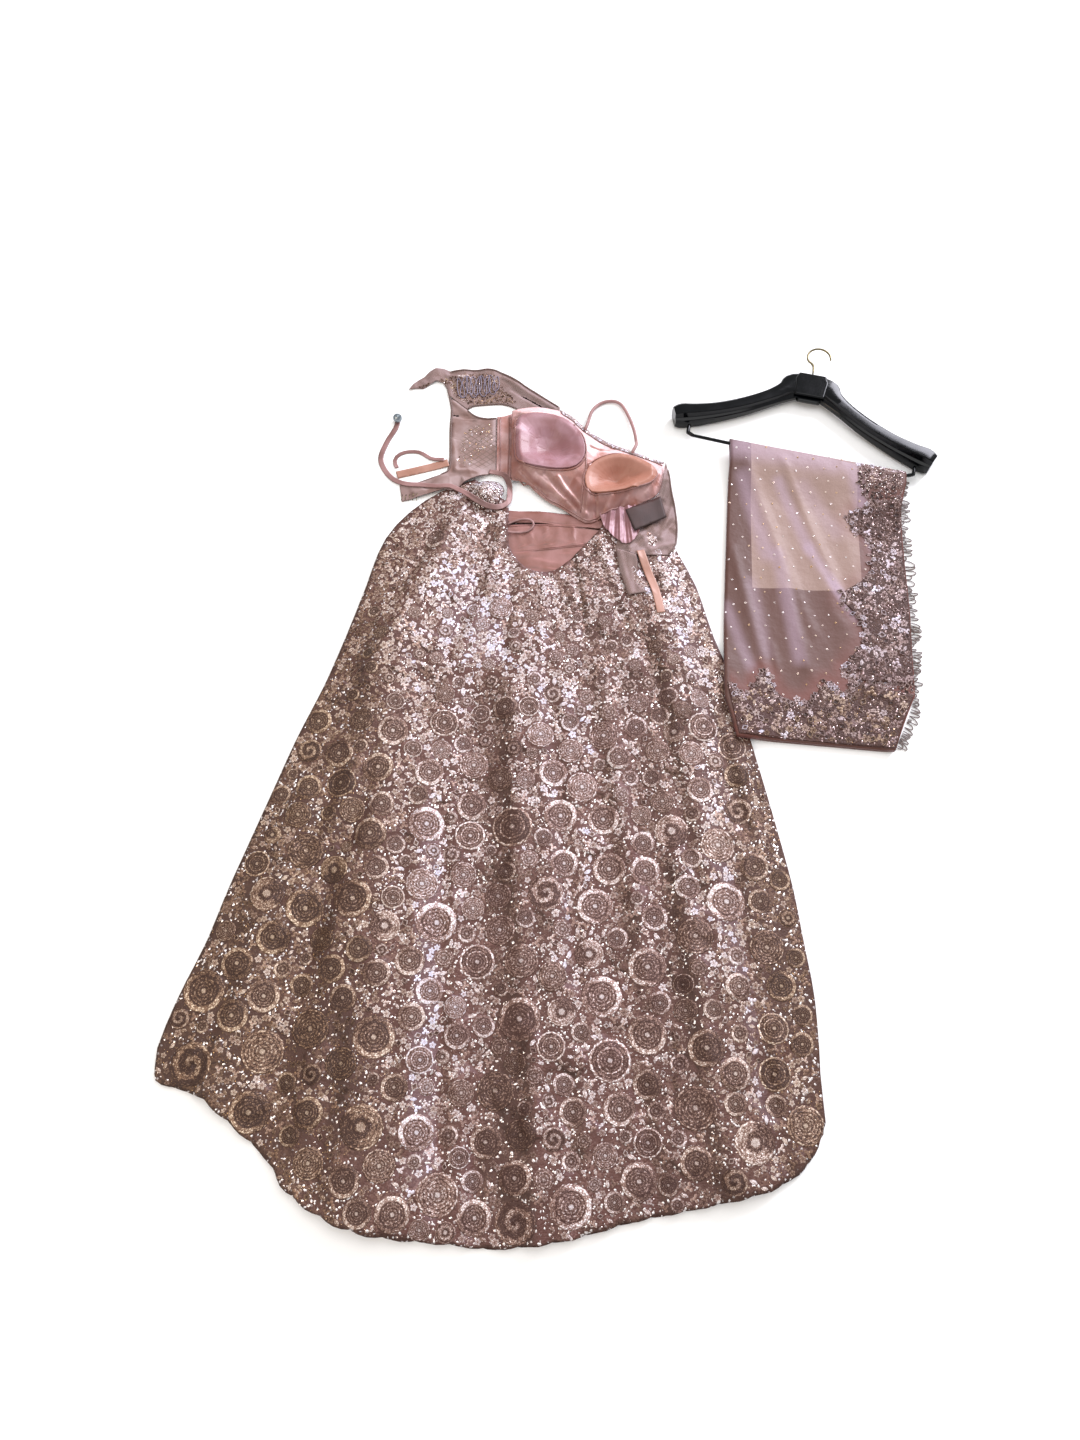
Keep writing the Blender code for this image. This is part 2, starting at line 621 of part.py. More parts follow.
def skirt_outline(waist, scallop):
    """The skirt's outline, anticlockwise from the waist's left end, with a scalloped hem."""
    left = [(waist[-1][0], waist[-1][1])] + [(l, y) for y, l, _ in SKIRT_SIDES]
    right = [SKIRT_HEM[-1]] + [(r, y) for y, _, r in reversed(SKIRT_SIDES)]
    hem = smooth_line(((SKIRT_SIDES[-1][1], SKIRT_SIDES[-1][0]),) + SKIRT_HEM, SCALLOP_WIDTH / 4)
    along = np.gradient(hem, axis=0)
    along /= np.linalg.norm(along, axis=1)[:, None]
    outward = np.column_stack([along[:, 1], -along[:, 0]])
    wave = np.abs(np.sin(np.arange(len(hem)) * math.pi / 4 + scallop))
    fade = ease(np.minimum(np.arange(len(hem)), np.arange(len(hem))[::-1]) / 6)
    hem = hem + outward * ((wave - 0.6) * SCALLOP_DEPTH * fade)[:, None]
    sides = [smooth_line(left, 0.030)[:-1], hem[:-1], smooth_line(right, 0.030)[:-1]]
    return np.vstack(sides + [smooth_line(waist, 0.016)[:-1]])


def skirt_lift(plan):
    """How far the front stands off the back: a plateau that rolls down at the sides, with folds."""
    left = smooth_line([(l, y) for y, l, _ in SKIRT_SIDES] + [SKIRT_HEM[0]], 0.02)
    right = smooth_line([(r, y) for y, _, r in SKIRT_SIDES] + [SKIRT_HEM[-1]], 0.02)
    waist = smooth_line(WAIST_FRONT, 0.02)
    roll = ease(line_distance(plan, left) / SIDE_ROLL) * ease(line_distance(plan, right) / SIDE_ROLL)
    near_waist = 0.25 + 0.75 * ease(line_distance(plan, waist) / WAIST_ROLL)
    folds = fold_heights(plan, SKIRT_FOLDS, FOLD_END_FADE)
    return np.maximum(0, (SKIRT_PLATEAU + folds) * roll * near_waist)


def place_rosettes(outline):
    """Where the thick rosettes are sewn: (x, y, radius), growing from the waist to the hem."""
    chance = random.Random(ROSETTE_SEED)
    low, high = outline.min(axis=0), outline.max(axis=0)
    placed = []
    for _ in range(9000):
        x, y = chance.uniform(low[0], high[0]), chance.uniform(low[1], high[1])
        share = (0.20 - y) / 0.86
        size = ROSETTE_AT_WAIST + (ROSETTE_AT_HEM - ROSETTE_AT_WAIST) * min(max(share, 0), 1)
        radius = size * chance.uniform(0.72, 1.18)
        if radius < ROSETTE_LEAST or len(placed) >= ROSETTE_COUNT:
            continue
        here = np.array([[x, y]])
        if not inside(here, outline)[0] or edge_distance(here, outline)[0] < radius + 0.005:
            continue
        if all(math.hypot(x - a, y - b) > radius + r + 0.003 for a, b, r in placed):
            placed.append((x, y, radius))
    return placed


def rosette_points(rosettes):
    """The plan points of each rosette's middle, raised ring and foot, and their raise."""
    points, raises = [], []
    for x, y, radius in rosettes:
        points.append((x, y))
        raises.append(0.6 * ROSETTE_RAISE)
        for share, raised in ((0.80, ROSETTE_RAISE), (1.0, 0.0)):
            for turn in range(ROSETTE_SIDES):
                angle = 2 * math.pi * (turn + (0.5 if share == 1.0 else 0)) / ROSETTE_SIDES
                points.append((x + share * radius * math.cos(angle), y + share * radius * math.sin(angle)))
                raises.append(raised)
    return np.array(points), np.array(raises)


def raise_of(points, rosettes):
    """How far the applique raises the cloth's outer points."""
    total = np.zeros(len(points))
    for x, y, radius in rosettes:
        share = np.hypot(points[:, 0] - x, points[:, 1] - y) / radius
        profile = np.interp(share, (0, 0.80, 1.0), (0.6, 1.0, 0.0))
        total = np.maximum(total, ROSETTE_RAISE * profile)
    return total


def make_skirt_back():
    """The back panel, flat on the surface, with the casing and lining that show at the waist."""
    outline = skirt_outline(WAIST_BACK, 0.9)
    plan, triangles = triangulate(outline, grid_inside(outline, 0.11, 0.13, 0.03))
    back = mesh_object("skirt_back", np.column_stack([plan, np.zeros(len(plan))]), triangles,
                       "embroidered_net")
    thicken(back, SKIRT_BACK_WALL)
    PILE.add(back)
    edge = smooth_line(((0.060, 0.3595), (0.0455, 0.350), (-0.0205, 0.355), (-0.0675, 0.361),
                        (-0.1185, 0.363), (-0.1330, 0.3755)), 0.012)
    casing = np.vstack([edge, edge[::-1] - (0, CASING_DEPTH)])
    lay_sheet("skirt_waist_casing", casing, 0.012, SATIN, "satin", passes=0)
    top = edge[::-1] - (0, CASING_DEPTH + GAP)
    foot = smooth_line(((0.060, 0.3380), (0.045, 0.270), (0.000, 0.228), (-0.060, 0.212),
                        (-0.120, 0.225), (-0.140, 0.280), (-0.1330, 0.3540)), 0.018)
    lining = np.vstack([top, foot[::-1][1:-1]])
    lay_sheet("skirt_lining", lining, 0.022, SATIN, "satin", passes=0)


def make_skirt_front():
    """The front panel: a folded wall with the thick rosettes raised in its outer points."""
    outline = skirt_outline(WAIST_FRONT, 0.0)
    folds = grid_inside(outline, FOLD_STEP_ACROSS, FOLD_STEP_DOWN, 0.010)
    under_plan, under_faces = triangulate(outline, folds)
    rest = np.maximum(PILE.rest(under_plan, 0.006), SKIRT_BACK_WALL + GAP)
    under_z = rest + skirt_lift(under_plan)
    rosettes = place_rosettes(outline)
    extra, _ = rosette_points(rosettes)
    over_plan, over_faces = triangulate(outline, np.vstack([folds, extra]))
    under = BVHTree.FromPolygons([(*p, z) for p, z in zip(under_plan, under_z)], under_faces)
    place = {(round(p[0], 6), round(p[1], 6)): z for p, z in zip(under_plan, under_z)}
    over_z = []
    for x, y in over_plan:
        known = place.get((round(x, 6), round(y, 6)))
        if known is None:
            hit = under.ray_cast(Vector((x, y, 1)), Vector((0, 0, -1)))[0]
            known = hit.z
        over_z.append(known + EMBROIDERED)
    over_z = np.array(over_z) + raise_of(over_plan, rosettes)
    count = len(over_plan)
    points = np.vstack([np.column_stack([over_plan, over_z]), np.column_stack([under_plan, under_z])])
    below = {(round(p[0], 6), round(p[1], 6)): count + i for i, p in enumerate(under_plan)}
    faces = list(over_faces) + [(count + a, count + c, count + b) for a, b, c in under_faces]
    for a, b in rim_of(over_faces):
        under_a = below[tuple(np.round(over_plan[a], 6))]
        under_b = below[tuple(np.round(over_plan[b], 6))]
        faces.append((b, a, under_a, under_b))
    front = mesh_object("skirt_front", points, faces, "embroidered_net")
    PILE.add(front)


def make_waist_corner():
    """The waist's left corner, turned over on itself."""
    outline = smooth_line(WAIST_CORNER, 0.009, closed=True)

    def dome(plan):
        return WAIST_CORNER_HEIGHT * ease(edge_distance(plan, outline) / 0.020)

    lay_sheet("skirt_waist_corner", outline, 0.009, EMBROIDERED, "beadwork", lift=dome)


def cup_share(plan, cup):
    """0 at a cup's middle, 1 at its rim and more outside it, and the distance to the rim."""
    outline = smooth_line(cup, 0.010, closed=True)
    middle = outline.mean(axis=0)
    rim = edge_distance(plan, outline)
    out = np.linalg.norm(plan - middle, axis=1)
    within = inside(plan, outline)
    share = np.where(within, out / (out + rim), 1 + rim / 0.040)
    return share, within


def blouse_height(plan, border):
    """The height of the front's underside: two bowls in a raised sheet that comes down at its edge."""
    edge = ease(edge_distance(plan, border) / 0.030)
    base = FRONT_EDGE_HEIGHT + 0.010 * edge
    height = base.copy()
    for cup in (CUP_LEFT, CUP_RIGHT):
        share, within = cup_share(plan, cup)
        slope = np.exp(-(((share - 1) / CUP_EASE) ** 2))
        outside = base + (CUP_RIM_HEIGHT - base) * slope * (0.35 + 0.65 * edge)
        height = np.maximum(height, np.where(within, 0, outside))
    for cup in (CUP_LEFT, CUP_RIGHT):
        share, within = cup_share(plan, cup)
        bowl = CUP_FLOOR + (CUP_RIM_HEIGHT - CUP_FLOOR) * ease(share) ** 1.1
        height = np.where(within, bowl, height)
    return height


def make_blouse_front():
    """The front, with its two cups and the beaded neck edge made from its points."""
    sides = (NECKLINE[::-1], FRONT_TOP[::-1], FRONT_SEAM[::-1], FRONT_HEM[::-1], FRONT_SIDE[::-1])
    outline = closed_outline(sides, 0.011)
    cups = [smooth_line(cup, 0.011, closed=True) for cup in (CUP_LEFT, CUP_RIGHT)]
    trim_line = inner_line(NECKLINE, 0.0085, 0.011, outline)
    rings = []
    for cup in cups:
        middle = cup.mean(axis=0)
        for share in (0.88, 0.66, 0.40):
            keep = cup if share > 0.5 else cup[::2]
            rings.append(middle + (keep - middle) * share)
        rings.append(middle[None, :])
    grid = grid_inside(outline, FRONT_STEP, FRONT_STEP * 0.9, 0.006)
    for cup in cups:
        grid = grid[~inside(grid, cup) & (edge_distance(grid, cup) > 0.005)]
    grid = grid[line_distance(grid, trim_line) > 0.004]
    loops = [np.vstack([cup, cup[:1]]) for cup in cups]
    plan, faces = triangulate(outline, np.vstack([grid] + rings), loops + [trim_line])
    heights = np.maximum(blouse_height(plan, outline), bridge(PILE.rest(plan, 0.009), faces, 3))
    heights = heights - PILE.slack(np.column_stack([plan, heights]), faces)
    front = mesh_object("blouse_front", np.column_stack([plan, heights]), faces, "satin")
    thicken(front, SATIN)
    for side, cup in zip(("left", "right"), cups):
        name = f"blouse_cup_{side}"
        made = patch_of(name, front, plan, faces, cup, CUP_WALL, "pink_satin")
        PILE.add(made)
    neck = smooth_line(NECKLINE, 0.011)
    region = np.vstack([neck + (0.002, 0.004), trim_line[::-1]])
    PILE.add(front, patch_of("blouse_neck_trim", front, plan, faces, region, TRIM, "beadwork"))


def inner_line(edge, inset, step, outline):
    """A line inside an outline, a set distance from one smooth edge, that ends on the outline."""
    line = smooth_line(edge, step)
    along = np.gradient(line, axis=0)
    along /= np.linalg.norm(along, axis=1)[:, None]
    side = np.column_stack([along[:, 1], -along[:, 0]])
    inner = line[1:-1] + side[1:-1] * inset
    keep = inside(inner, outline) & (edge_distance(inner, outline) > inset * 0.6)
    ends = [outline[np.argmin(np.linalg.norm(outline - p, axis=1))] for p in (line[0], line[-1])]
    return np.vstack([ends[0], inner[keep], ends[1]])


def make_blouse_back():
    """The left back wing with its boning channel, and the shoulder band."""
    lay_sheet("blouse_wing_left", closed_outline(WING_LEFT, 0.014), 0.020, NET, "blouse_net", reach=0.014)
    lay_sheet("blouse_boning_channel", closed_outline(BONING_CHANNEL, 0.016), 0.014, TRIM, "satin",
              reach=0.003)
    lay_sheet("blouse_shoulder_band", closed_outline(SHOULDER_BAND, 0.012), 0.015, NET, "blouse_net",
              reach=0.003, lift=lambda plan: 0.004 * np.sin((plan[:, 0] + 0.22) * 70) ** 2
              * ease((plan[:, 1] - 0.585) / 0.03))


def gather_lift(plan):
    """Small pleats that fan out from the gathered edge."""
    across = (plan - np.array(GATHERS[0][0])) @ np.array([0.42, -0.91])
    return GATHER_HEIGHT * np.sin(across / 0.064 * GATHER_PLEATS * math.pi) ** 2


def make_blouse_right():
    """The right net wing with its closing tab, the gathered lining and the bare label."""
    lay_sheet("blouse_wing_right", closed_outline(WING_RIGHT, 0.012), 0.014, NET, "blouse_net",
              reach=0.007, passes=4, lift=lambda plan: 0.003 * np.sin(plan[:, 0] * 90 + plan[:, 1] * 60) ** 2)
    lay_sheet("blouse_tab_right", closed_outline(TAB_RIGHT, 0.012), 0.012, NET, "blouse_net", reach=0.007,
              passes=4)
    lay_sheet("blouse_gathers", closed_outline(GATHERS, 0.0055), 0.0055, SATIN, "pink_satin",
              reach=0.0055, passes=4, lift=gather_lift)
    label = closed_outline([LABEL[i:i + 2] for i in range(3)] + [(LABEL[3], LABEL[0])], 0.016)
    lay_sheet("blouse_label", label[::-1], 0.016, TRIM, "label", reach=0.012, passes=8)


def make_ribbons():
    """The ties, the drawstring and the hanging loop, each a flat ribbon with free ends."""
    for name, width, centre in RIBBONS:
        finish = "peach_ribbon" if name in ("ribbon_left_wide", "ribbon_right") else "ribbon"
        if name != "skirt_hanging_loop":
            lay_ribbon(name, centre, width, RIBBON, finish)


def make_strap():
    """The thin shoulder strap, sewn on the neck edge, that loops over the surface beyond it."""
    ends = []
    for (x, y), (off_x, off_y) in zip(STRAP_STARTS, STRAP_OFF_EDGE):
        height = PILE.top(x, y, STRAP_RADIUS) + STRAP_RADIUS - STRAP_SINK
        ends.append([(x, y, height), (off_x, off_y, height - 0.0005)])
    route = smooth_line(ends[0] + list(STRAP_ROUTE) + ends[1][::-1], 0.0075)
    tube("blouse_strap", route, STRAP_RADIUS, "ribbon")


def make_bead():
    """The cut crystal at the long tie's tip."""
    x, y = BEAD_AT_TIP
    base = PILE.top(x, y, 0.002) + GAP
    bpy.ops.mesh.primitive_ico_sphere_add(subdivisions=2, radius=BEAD_RADIUS,
                                          location=(x, y, base + BEAD_RADIUS))
    bead = bpy.context.object
    bead.name = "crystal_tip"
    for owner in list(bead.users_collection):
        owner.objects.unlink(bead)
    SET.objects.link(bead)
    bead.data.materials.append(material_named("crystal"))


def from_hanger(x, y):
    """A point in the hanger's own frame, on the plan."""
    turn_x, turn_y = math.cos(HANGER_TURN), math.sin(HANGER_TURN)
    return HANGER_CENTRE[0] + x * turn_x - y * turn_y, HANGER_CENTRE[1] + x * turn_y + y * turn_x


def make_hanger():
    """The coat hanger: a lofted body whose ends flare, a bar on two posts and a wire hook."""
    stations = [(-x, y, depth, thick) for x, y, depth, thick in reversed(HANGER_ARM[1:])]
    stations = np.array(stations + list(HANGER_ARM))
    along = np.gradient(stations[:, :2], axis=0)
    along /= np.linalg.norm(along, axis=1)[:, None]
    points, faces = [], []
    sides = HANGER_SECTION_SIDES
    for (x, y, depth, thick), (ax, ay) in zip(stations, along):
        for i in range(sides):
            angle = 2 * math.pi * i / sides
            across = math.copysign(abs(math.cos(angle)) ** 0.55, math.cos(angle)) * depth
            rise = math.copysign(abs(math.sin(angle)) ** 0.55, math.sin(angle)) * thick
            px, py = from_hanger(x - ay * across, y + ax * across)
            points.append((px, py, HANGER_MID_HEIGHT + rise))
    for ring in range(len(stations) - 1):
        for i in range(sides):
            a, b = ring * sides + i, ring * sides + (i + 1) % sides
            faces.append((a, a + sides, b + sides, b))
    faces.append(tuple(range(sides)))
    faces.append(tuple(reversed(range((len(stations) - 1) * sides, len(stations) * sides))))
    body = mesh_object("hanger_body", points, faces, "black_plastic")
    body.data.flip_normals()
    tree = BVHTree.FromObject(body, bpy.context.evaluated_depsgraph_get())
    rise = Vector((-math.sin(HANGER_TURN), math.cos(HANGER_TURN), 0))
    reach = []
    for x in (BAR_HALF - BAR_RADIUS, BAR_HALF, BAR_HALF + BAR_RADIUS):
        for side in (-1, 1):
            start = Vector((*from_hanger(side * x, BAR_DROP), HANGER_MID_HEIGHT))
            reach.append(tree.ray_cast(start, rise)[3])
    post_top = BAR_DROP + min(reach) - GAP
    bar = [(-BAR_HALF, post_top), (-BAR_HALF, BAR_DROP + 0.004), (-BAR_HALF + 0.004, BAR_DROP),
           (BAR_HALF - 0.004, BAR_DROP), (BAR_HALF, BAR_DROP + 0.004), (BAR_HALF, post_top)]
    rail = tube("hanger_bar", [(*from_hanger(x, y), HANGER_MID_HEIGHT) for x, y in bar], BAR_RADIUS,
                "black_plastic")
    hook = [(0.0, HOOK_BASE + 0.0005), (0.0, HOOK_NECK)]
    for turn in range(14):
        angle = math.radians(215 - turn * 17)
        hook.append((0.006 + HOOK_BEND * math.cos(angle),
                     HOOK_NECK + 0.016 + HOOK_BEND * math.sin(angle)))
    wire = tube("hanger_hook", [(*from_hanger(x, y), HANGER_MID_HEIGHT) for x, y in hook], HOOK_RADIUS,
                "chrome")
    return body, rail, wire


def dupatta_place(drop, share):
    """The plan point of the folded cloth a way down from the bar, at a share of its width."""
    start = from_hanger(DUPATTA_LEFT + (DUPATTA_RIGHT - DUPATTA_LEFT) * share, BAR_DROP)
    foot = DUPATTA_FOOT[0] + (DUPATTA_FOOT[1] - DUPATTA_FOOT[0]) * share
    down = max(drop, 0.0) / DUPATTA_DROPS[-1]
    y = start[1] + (foot - start[1]) * down - min(drop, 0.0)
    edges = np.array(DUPATTA_EDGES)
    left = np.interp(-y, -edges[:, 0], edges[:, 1])
    right = np.interp(-y, -edges[:, 0], edges[:, 2])
    blend = float(ease(drop / 0.06))
    return start[0] * (1 - blend) + (left + (right - left) * share) * blend, y


def make_dupatta_folded():
    """The dupatta folded over the bar: a lower and an upper leaf, each of several net layers."""
    shares = np.linspace(0, 1, DUPATTA_COLUMNS)
    plan = np.array([[dupatta_place(d, s) for s in shares] for d in DUPATTA_DROPS])
    flat = plan.reshape(-1, 2)
    rest = PILE.rest(flat, 0.010).reshape(plan.shape[:2])
    rest = np.maximum(rest, np.maximum(np.roll(rest, 1, 1), np.roll(rest, -1, 1)) * 0.55)
    corners = []
    for row in range(len(plan) - 1):
        for i in range(DUPATTA_COLUMNS - 1):
            a, b = row * DUPATTA_COLUMNS + i, (row + 1) * DUPATTA_COLUMNS + i
            corners.append((a, b, b + 1, a + 1))
    over_skirt = np.column_stack([flat, rest.reshape(-1) + 1.0])
    slack = PILE.slack(over_skirt, corners) - 1.0
    rest = np.maximum(0, rest - max(0.0, slack))
    folds = fold_heights(flat, DUPATTA_FOLDS, 0.06).reshape(plan.shape[:2])
    bend = BAR_RADIUS + GAP
    fall = (1 - ease(np.array(DUPATTA_DROPS) / DUPATTA_FALL))[:, None]
    low = HANGER_MID_HEIGHT - bend - DUPATTA_WALL
    lower_outer = rest * (1 - fall) + low * fall
    lower_inner = lower_outer + DUPATTA_WALL
    top = HANGER_MID_HEIGHT + bend
    upper_inner = (lower_inner + GAP + folds) * (1 - fall) + top * fall
    upper_outer = upper_inner + DUPATTA_WALL
    inner, outer = [], []
    for row in reversed(range(len(DUPATTA_DROPS))):
        inner.append([(*plan[row, i], lower_inner[row, i]) for i in range(DUPATTA_COLUMNS)])
        outer.append([(*plan[row, i], lower_outer[row, i]) for i in range(DUPATTA_COLUMNS)])
    for degrees in (-90, -55, -18, 18, 55, 90):
        angle = math.radians(degrees)
        for rows, radius in ((inner, bend), (outer, bend + DUPATTA_WALL)):
            drop = -radius * math.cos(angle)
            height = HANGER_MID_HEIGHT + radius * math.sin(angle)
            rows.append([(*dupatta_place(min(drop, -1e-9), s), height) for s in shares])
    for row in range(len(DUPATTA_DROPS)):
        inner.append([(*plan[row, i], upper_inner[row, i]) for i in range(DUPATTA_COLUMNS)])
        outer.append([(*plan[row, i], upper_outer[row, i]) for i in range(DUPATTA_COLUMNS)])
    rows, columns = len(inner), DUPATTA_COLUMNS
    points = np.vstack([np.array(inner).reshape(-1, 3), np.array(outer).reshape(-1, 3)])
    half = rows * columns
    faces = []
    for row in range(rows - 1):
        for i in range(columns - 1):
            a, b = row * columns + i, (row + 1) * columns + i
            faces.append((a, a + 1, b + 1, b))
            faces.append((half + a, half + b, half + b + 1, half + a + 1))
        for i in (0, columns - 1):
            a, b = row * columns + i, (row + 1) * columns + i
            faces.append((a, b, half + b, half + a) if i == 0 else (b, a, half + a, half + b))
    for i in range(columns - 1):
        a, b = i, (rows - 1) * columns + i
        faces.append((a + 1, a, half + a, half + a + 1))
        faces.append((b, b + 1, half + b + 1, half + b))
    PILE.add(mesh_object("dupatta_folded", points, faces, "veil"))


def make_dupatta_borders():
    """The beaded border down the right side and along the foot, with their waved inner edges."""
    outer_side = smooth_line([dupatta_place(d, 0.993) for d in (0.050, 0.09, 0.14, 0.26, 0.38)], 0.014)
    inner_side = smooth_line(BORDER_SIDE_INNER, 0.012)
    foot = smooth_line([dupatta_place(0.487, s) for s in (0.012, 0.35, 0.7, 0.988)], 0.014)
    side_foot = smooth_line([dupatta_place(d, 0.993) for d in (0.40, 0.44, 0.485)], 0.014)
    inner_foot = smooth_line(BORDER_FOOT_INNER, 0.012)
    side = np.vstack([inner_side, outer_side[::-1]])
    lay_sheet("dupatta_border_side", side, 0.018, TRIM, "beadwork", reach=0.015)
    low = np.vstack([foot, side_foot[::-1], inner_foot[::-1]])
    lay_sheet("dupatta_border_foot", low, 0.018, TRIM, "beadwork", reach=0.017)


def make_dupatta_fringe():
    """The fringe along the right edge: strands rooted in a narrow strip beside the cloth."""
    edge = smooth_line([dupatta_place(d, 1.0) for d in DUPATTA_DROPS[2:-1]], FRINGE_PITCH)
    along = np.gradient(edge, axis=0)
    along /= np.linalg.norm(along, axis=1)[:, None]
    out = np.column_stack([-along[:, 1], along[:, 0]])
    inner = edge + out * GAP * 2
    outer = edge + out * FRINGE_STRIP
    teeth = []
    for place, way, side in zip(outer, along, out):
        tip = place + side * FRINGE_LENGTH
        half = way * FRINGE_WIDTH / 2
        teeth += [place - half, tip - half, tip + half, place + half]
    outline = np.vstack([inner[::-1], np.array(teeth)])
    plan, triangles = triangulate(outline)
    fringe = mesh_object("dupatta_fringe", np.column_stack([plan, np.zeros(len(plan))]), triangles,
                         "beadwork", smooth=False)
    thicken(fringe, FRINGE_WIDTH)


def main():
    """Builds the set from the bottom layer up."""
    make_skirt_back()
    for name, width, centre in RIBBONS:
        if name == "skirt_hanging_loop":
            lay_ribbon(name, centre, width, RIBBON, "ribbon", step=0.005, reach=0.004)
    make_skirt_front()
    make_waist_corner()
    make_blouse_back()
    make_blouse_front()
    make_blouse_right()
    make_ribbons()
    make_strap()
    make_bead()
    make_hanger()
    make_dupatta_folded()
    make_dupatta_borders()
    make_dupatta_fringe()
    to_origin = Matrix.Translation((-PLAN_MIDDLE[0], -PLAN_MIDDLE[1], 0))
    for obj in SET.objects:
        if obj.type == "CURVE":
            obj.data.transform(to_origin)
        else:
            obj.data.transform(to_origin @ obj.matrix_world)
            obj.matrix_world = Matrix.Identity(4)


for old in list(bpy.data.objects):
    bpy.data.objects.remove(old)
SET = bpy.data.collections.new("lehenga_choli")
bpy.context.scene.collection.children.link(SET)
main()
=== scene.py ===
"""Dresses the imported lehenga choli: sequinned net and beadwork, satin, ribbon, veil and hanger.

Everything is in metres in the part's own frame, +X to the right, +Y towards the hanger's hook
and +Z up off the surface that the set lies on.
"""

import json
import logging
import math
import random
from dataclasses import dataclass, field
from enum import Enum
from typing import Any, Callable, Sequence

import bmesh
import bpy
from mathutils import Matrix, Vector
from mathutils.bvhtree import BVHTree

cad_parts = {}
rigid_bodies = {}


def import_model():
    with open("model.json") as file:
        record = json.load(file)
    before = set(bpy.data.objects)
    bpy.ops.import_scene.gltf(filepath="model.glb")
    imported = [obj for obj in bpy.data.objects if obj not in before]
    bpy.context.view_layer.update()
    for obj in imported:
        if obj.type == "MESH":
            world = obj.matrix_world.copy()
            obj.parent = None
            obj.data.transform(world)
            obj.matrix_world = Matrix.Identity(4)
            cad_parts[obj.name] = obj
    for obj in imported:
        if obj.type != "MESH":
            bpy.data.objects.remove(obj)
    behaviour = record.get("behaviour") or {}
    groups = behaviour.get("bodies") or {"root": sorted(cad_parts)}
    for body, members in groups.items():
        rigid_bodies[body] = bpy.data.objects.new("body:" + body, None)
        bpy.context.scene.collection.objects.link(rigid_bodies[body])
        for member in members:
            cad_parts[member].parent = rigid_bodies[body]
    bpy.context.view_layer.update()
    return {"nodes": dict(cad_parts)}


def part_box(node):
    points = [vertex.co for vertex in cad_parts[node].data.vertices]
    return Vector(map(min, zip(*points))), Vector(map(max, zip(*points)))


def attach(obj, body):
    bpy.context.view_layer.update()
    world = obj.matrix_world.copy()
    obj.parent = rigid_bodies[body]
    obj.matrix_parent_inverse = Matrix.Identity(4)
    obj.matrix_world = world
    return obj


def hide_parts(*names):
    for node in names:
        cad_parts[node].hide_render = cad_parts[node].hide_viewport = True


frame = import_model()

LOG = logging.getLogger("lehenga_choli")
BODY = "root"
# Rays that look for the cloth start above everything
ABOVE = 0.5
DOWN = Vector((0, 0, -1))
# Points nearer than this are one point
WELD = 2e-5
# How much light cloth that lies flat catches, from 0 to 1
FLAT_LIGHT = 0.62
FULL_TURN = 6.28
# Half the angle at which a net's threads cross
THREAD_ANGLE = math.radians(52)
# The columns of the tables in millimetres that aren't lengths
STRENGTH = 4
LEAN = 4
# How often places are tried: for each rosette size, for the sprays, and for each motif of a cover
ROSETTE_TRIES = 6000
SPRAY_TRIES = 90000
COVER_TRIES = 30
Point = tuple[float, float]
Crease = tuple[float, float, float, float, float, float]
Material = bpy.types.Material
Mesh = bpy.types.Mesh
Node = bpy.types.Node
Object = bpy.types.Object
Socket = bpy.types.NodeSocket


def linear(hex_text: str) -> tuple[float, float, float, float]:
    """Turns an sRGB hex colour to linear.

    Args:
        hex_text: Six hex digits after a hash sign.

    Returns:
        Red, green, blue and an alpha of 1, all linear.
    """
    channels = [int(hex_text[i:i + 2], 16) / 255 for i in (1, 3, 5)]
    red, green, blue = (c / 12.92 if c <= 0.04045 else ((c + 0.055) / 1.055) ** 2.4 for c in channels)
    return red, green, blue, 1.0


def add_node(tree: bpy.types.NodeTree, kind: str, inputs: dict | None = None, **settings: Any) -> Node:
    """Adds one node with its settings and what goes into it.

    Args:
        tree: The shader or geometry tree.
        kind: The node's type name.
        inputs: Input name or number to a socket, a hex colour or a plain value.
        **settings: The node's own properties.

    Returns:
        The new node.
    """
    node = tree.nodes.new(kind)
    for key, value in settings.items():
        setattr(node, key, value)
    feed(tree, node, inputs or {})
    return node


def feed(tree: bpy.types.NodeTree, node: Node, inputs: dict) -> None:
    """Gives a node's inputs their sockets, hex colours or plain values."""
    for key, value in inputs.items():
        if isinstance(value, Socket):
            tree.links.new(value, node.inputs[key])
        elif isinstance(value, str) and value.startswith("#"):
            node.inputs[key].default_value = linear(value)
        else:
            node.inputs[key].default_value = value


def math_node(tree: bpy.types.NodeTree, operation: str, a: Any, b: Any = 0.0) -> Socket:
    """One arithmetic step on sockets or numbers."""
    return add_node(tree, "ShaderNodeMath", {0: a, 1: b}, operation=operation).outputs[0]


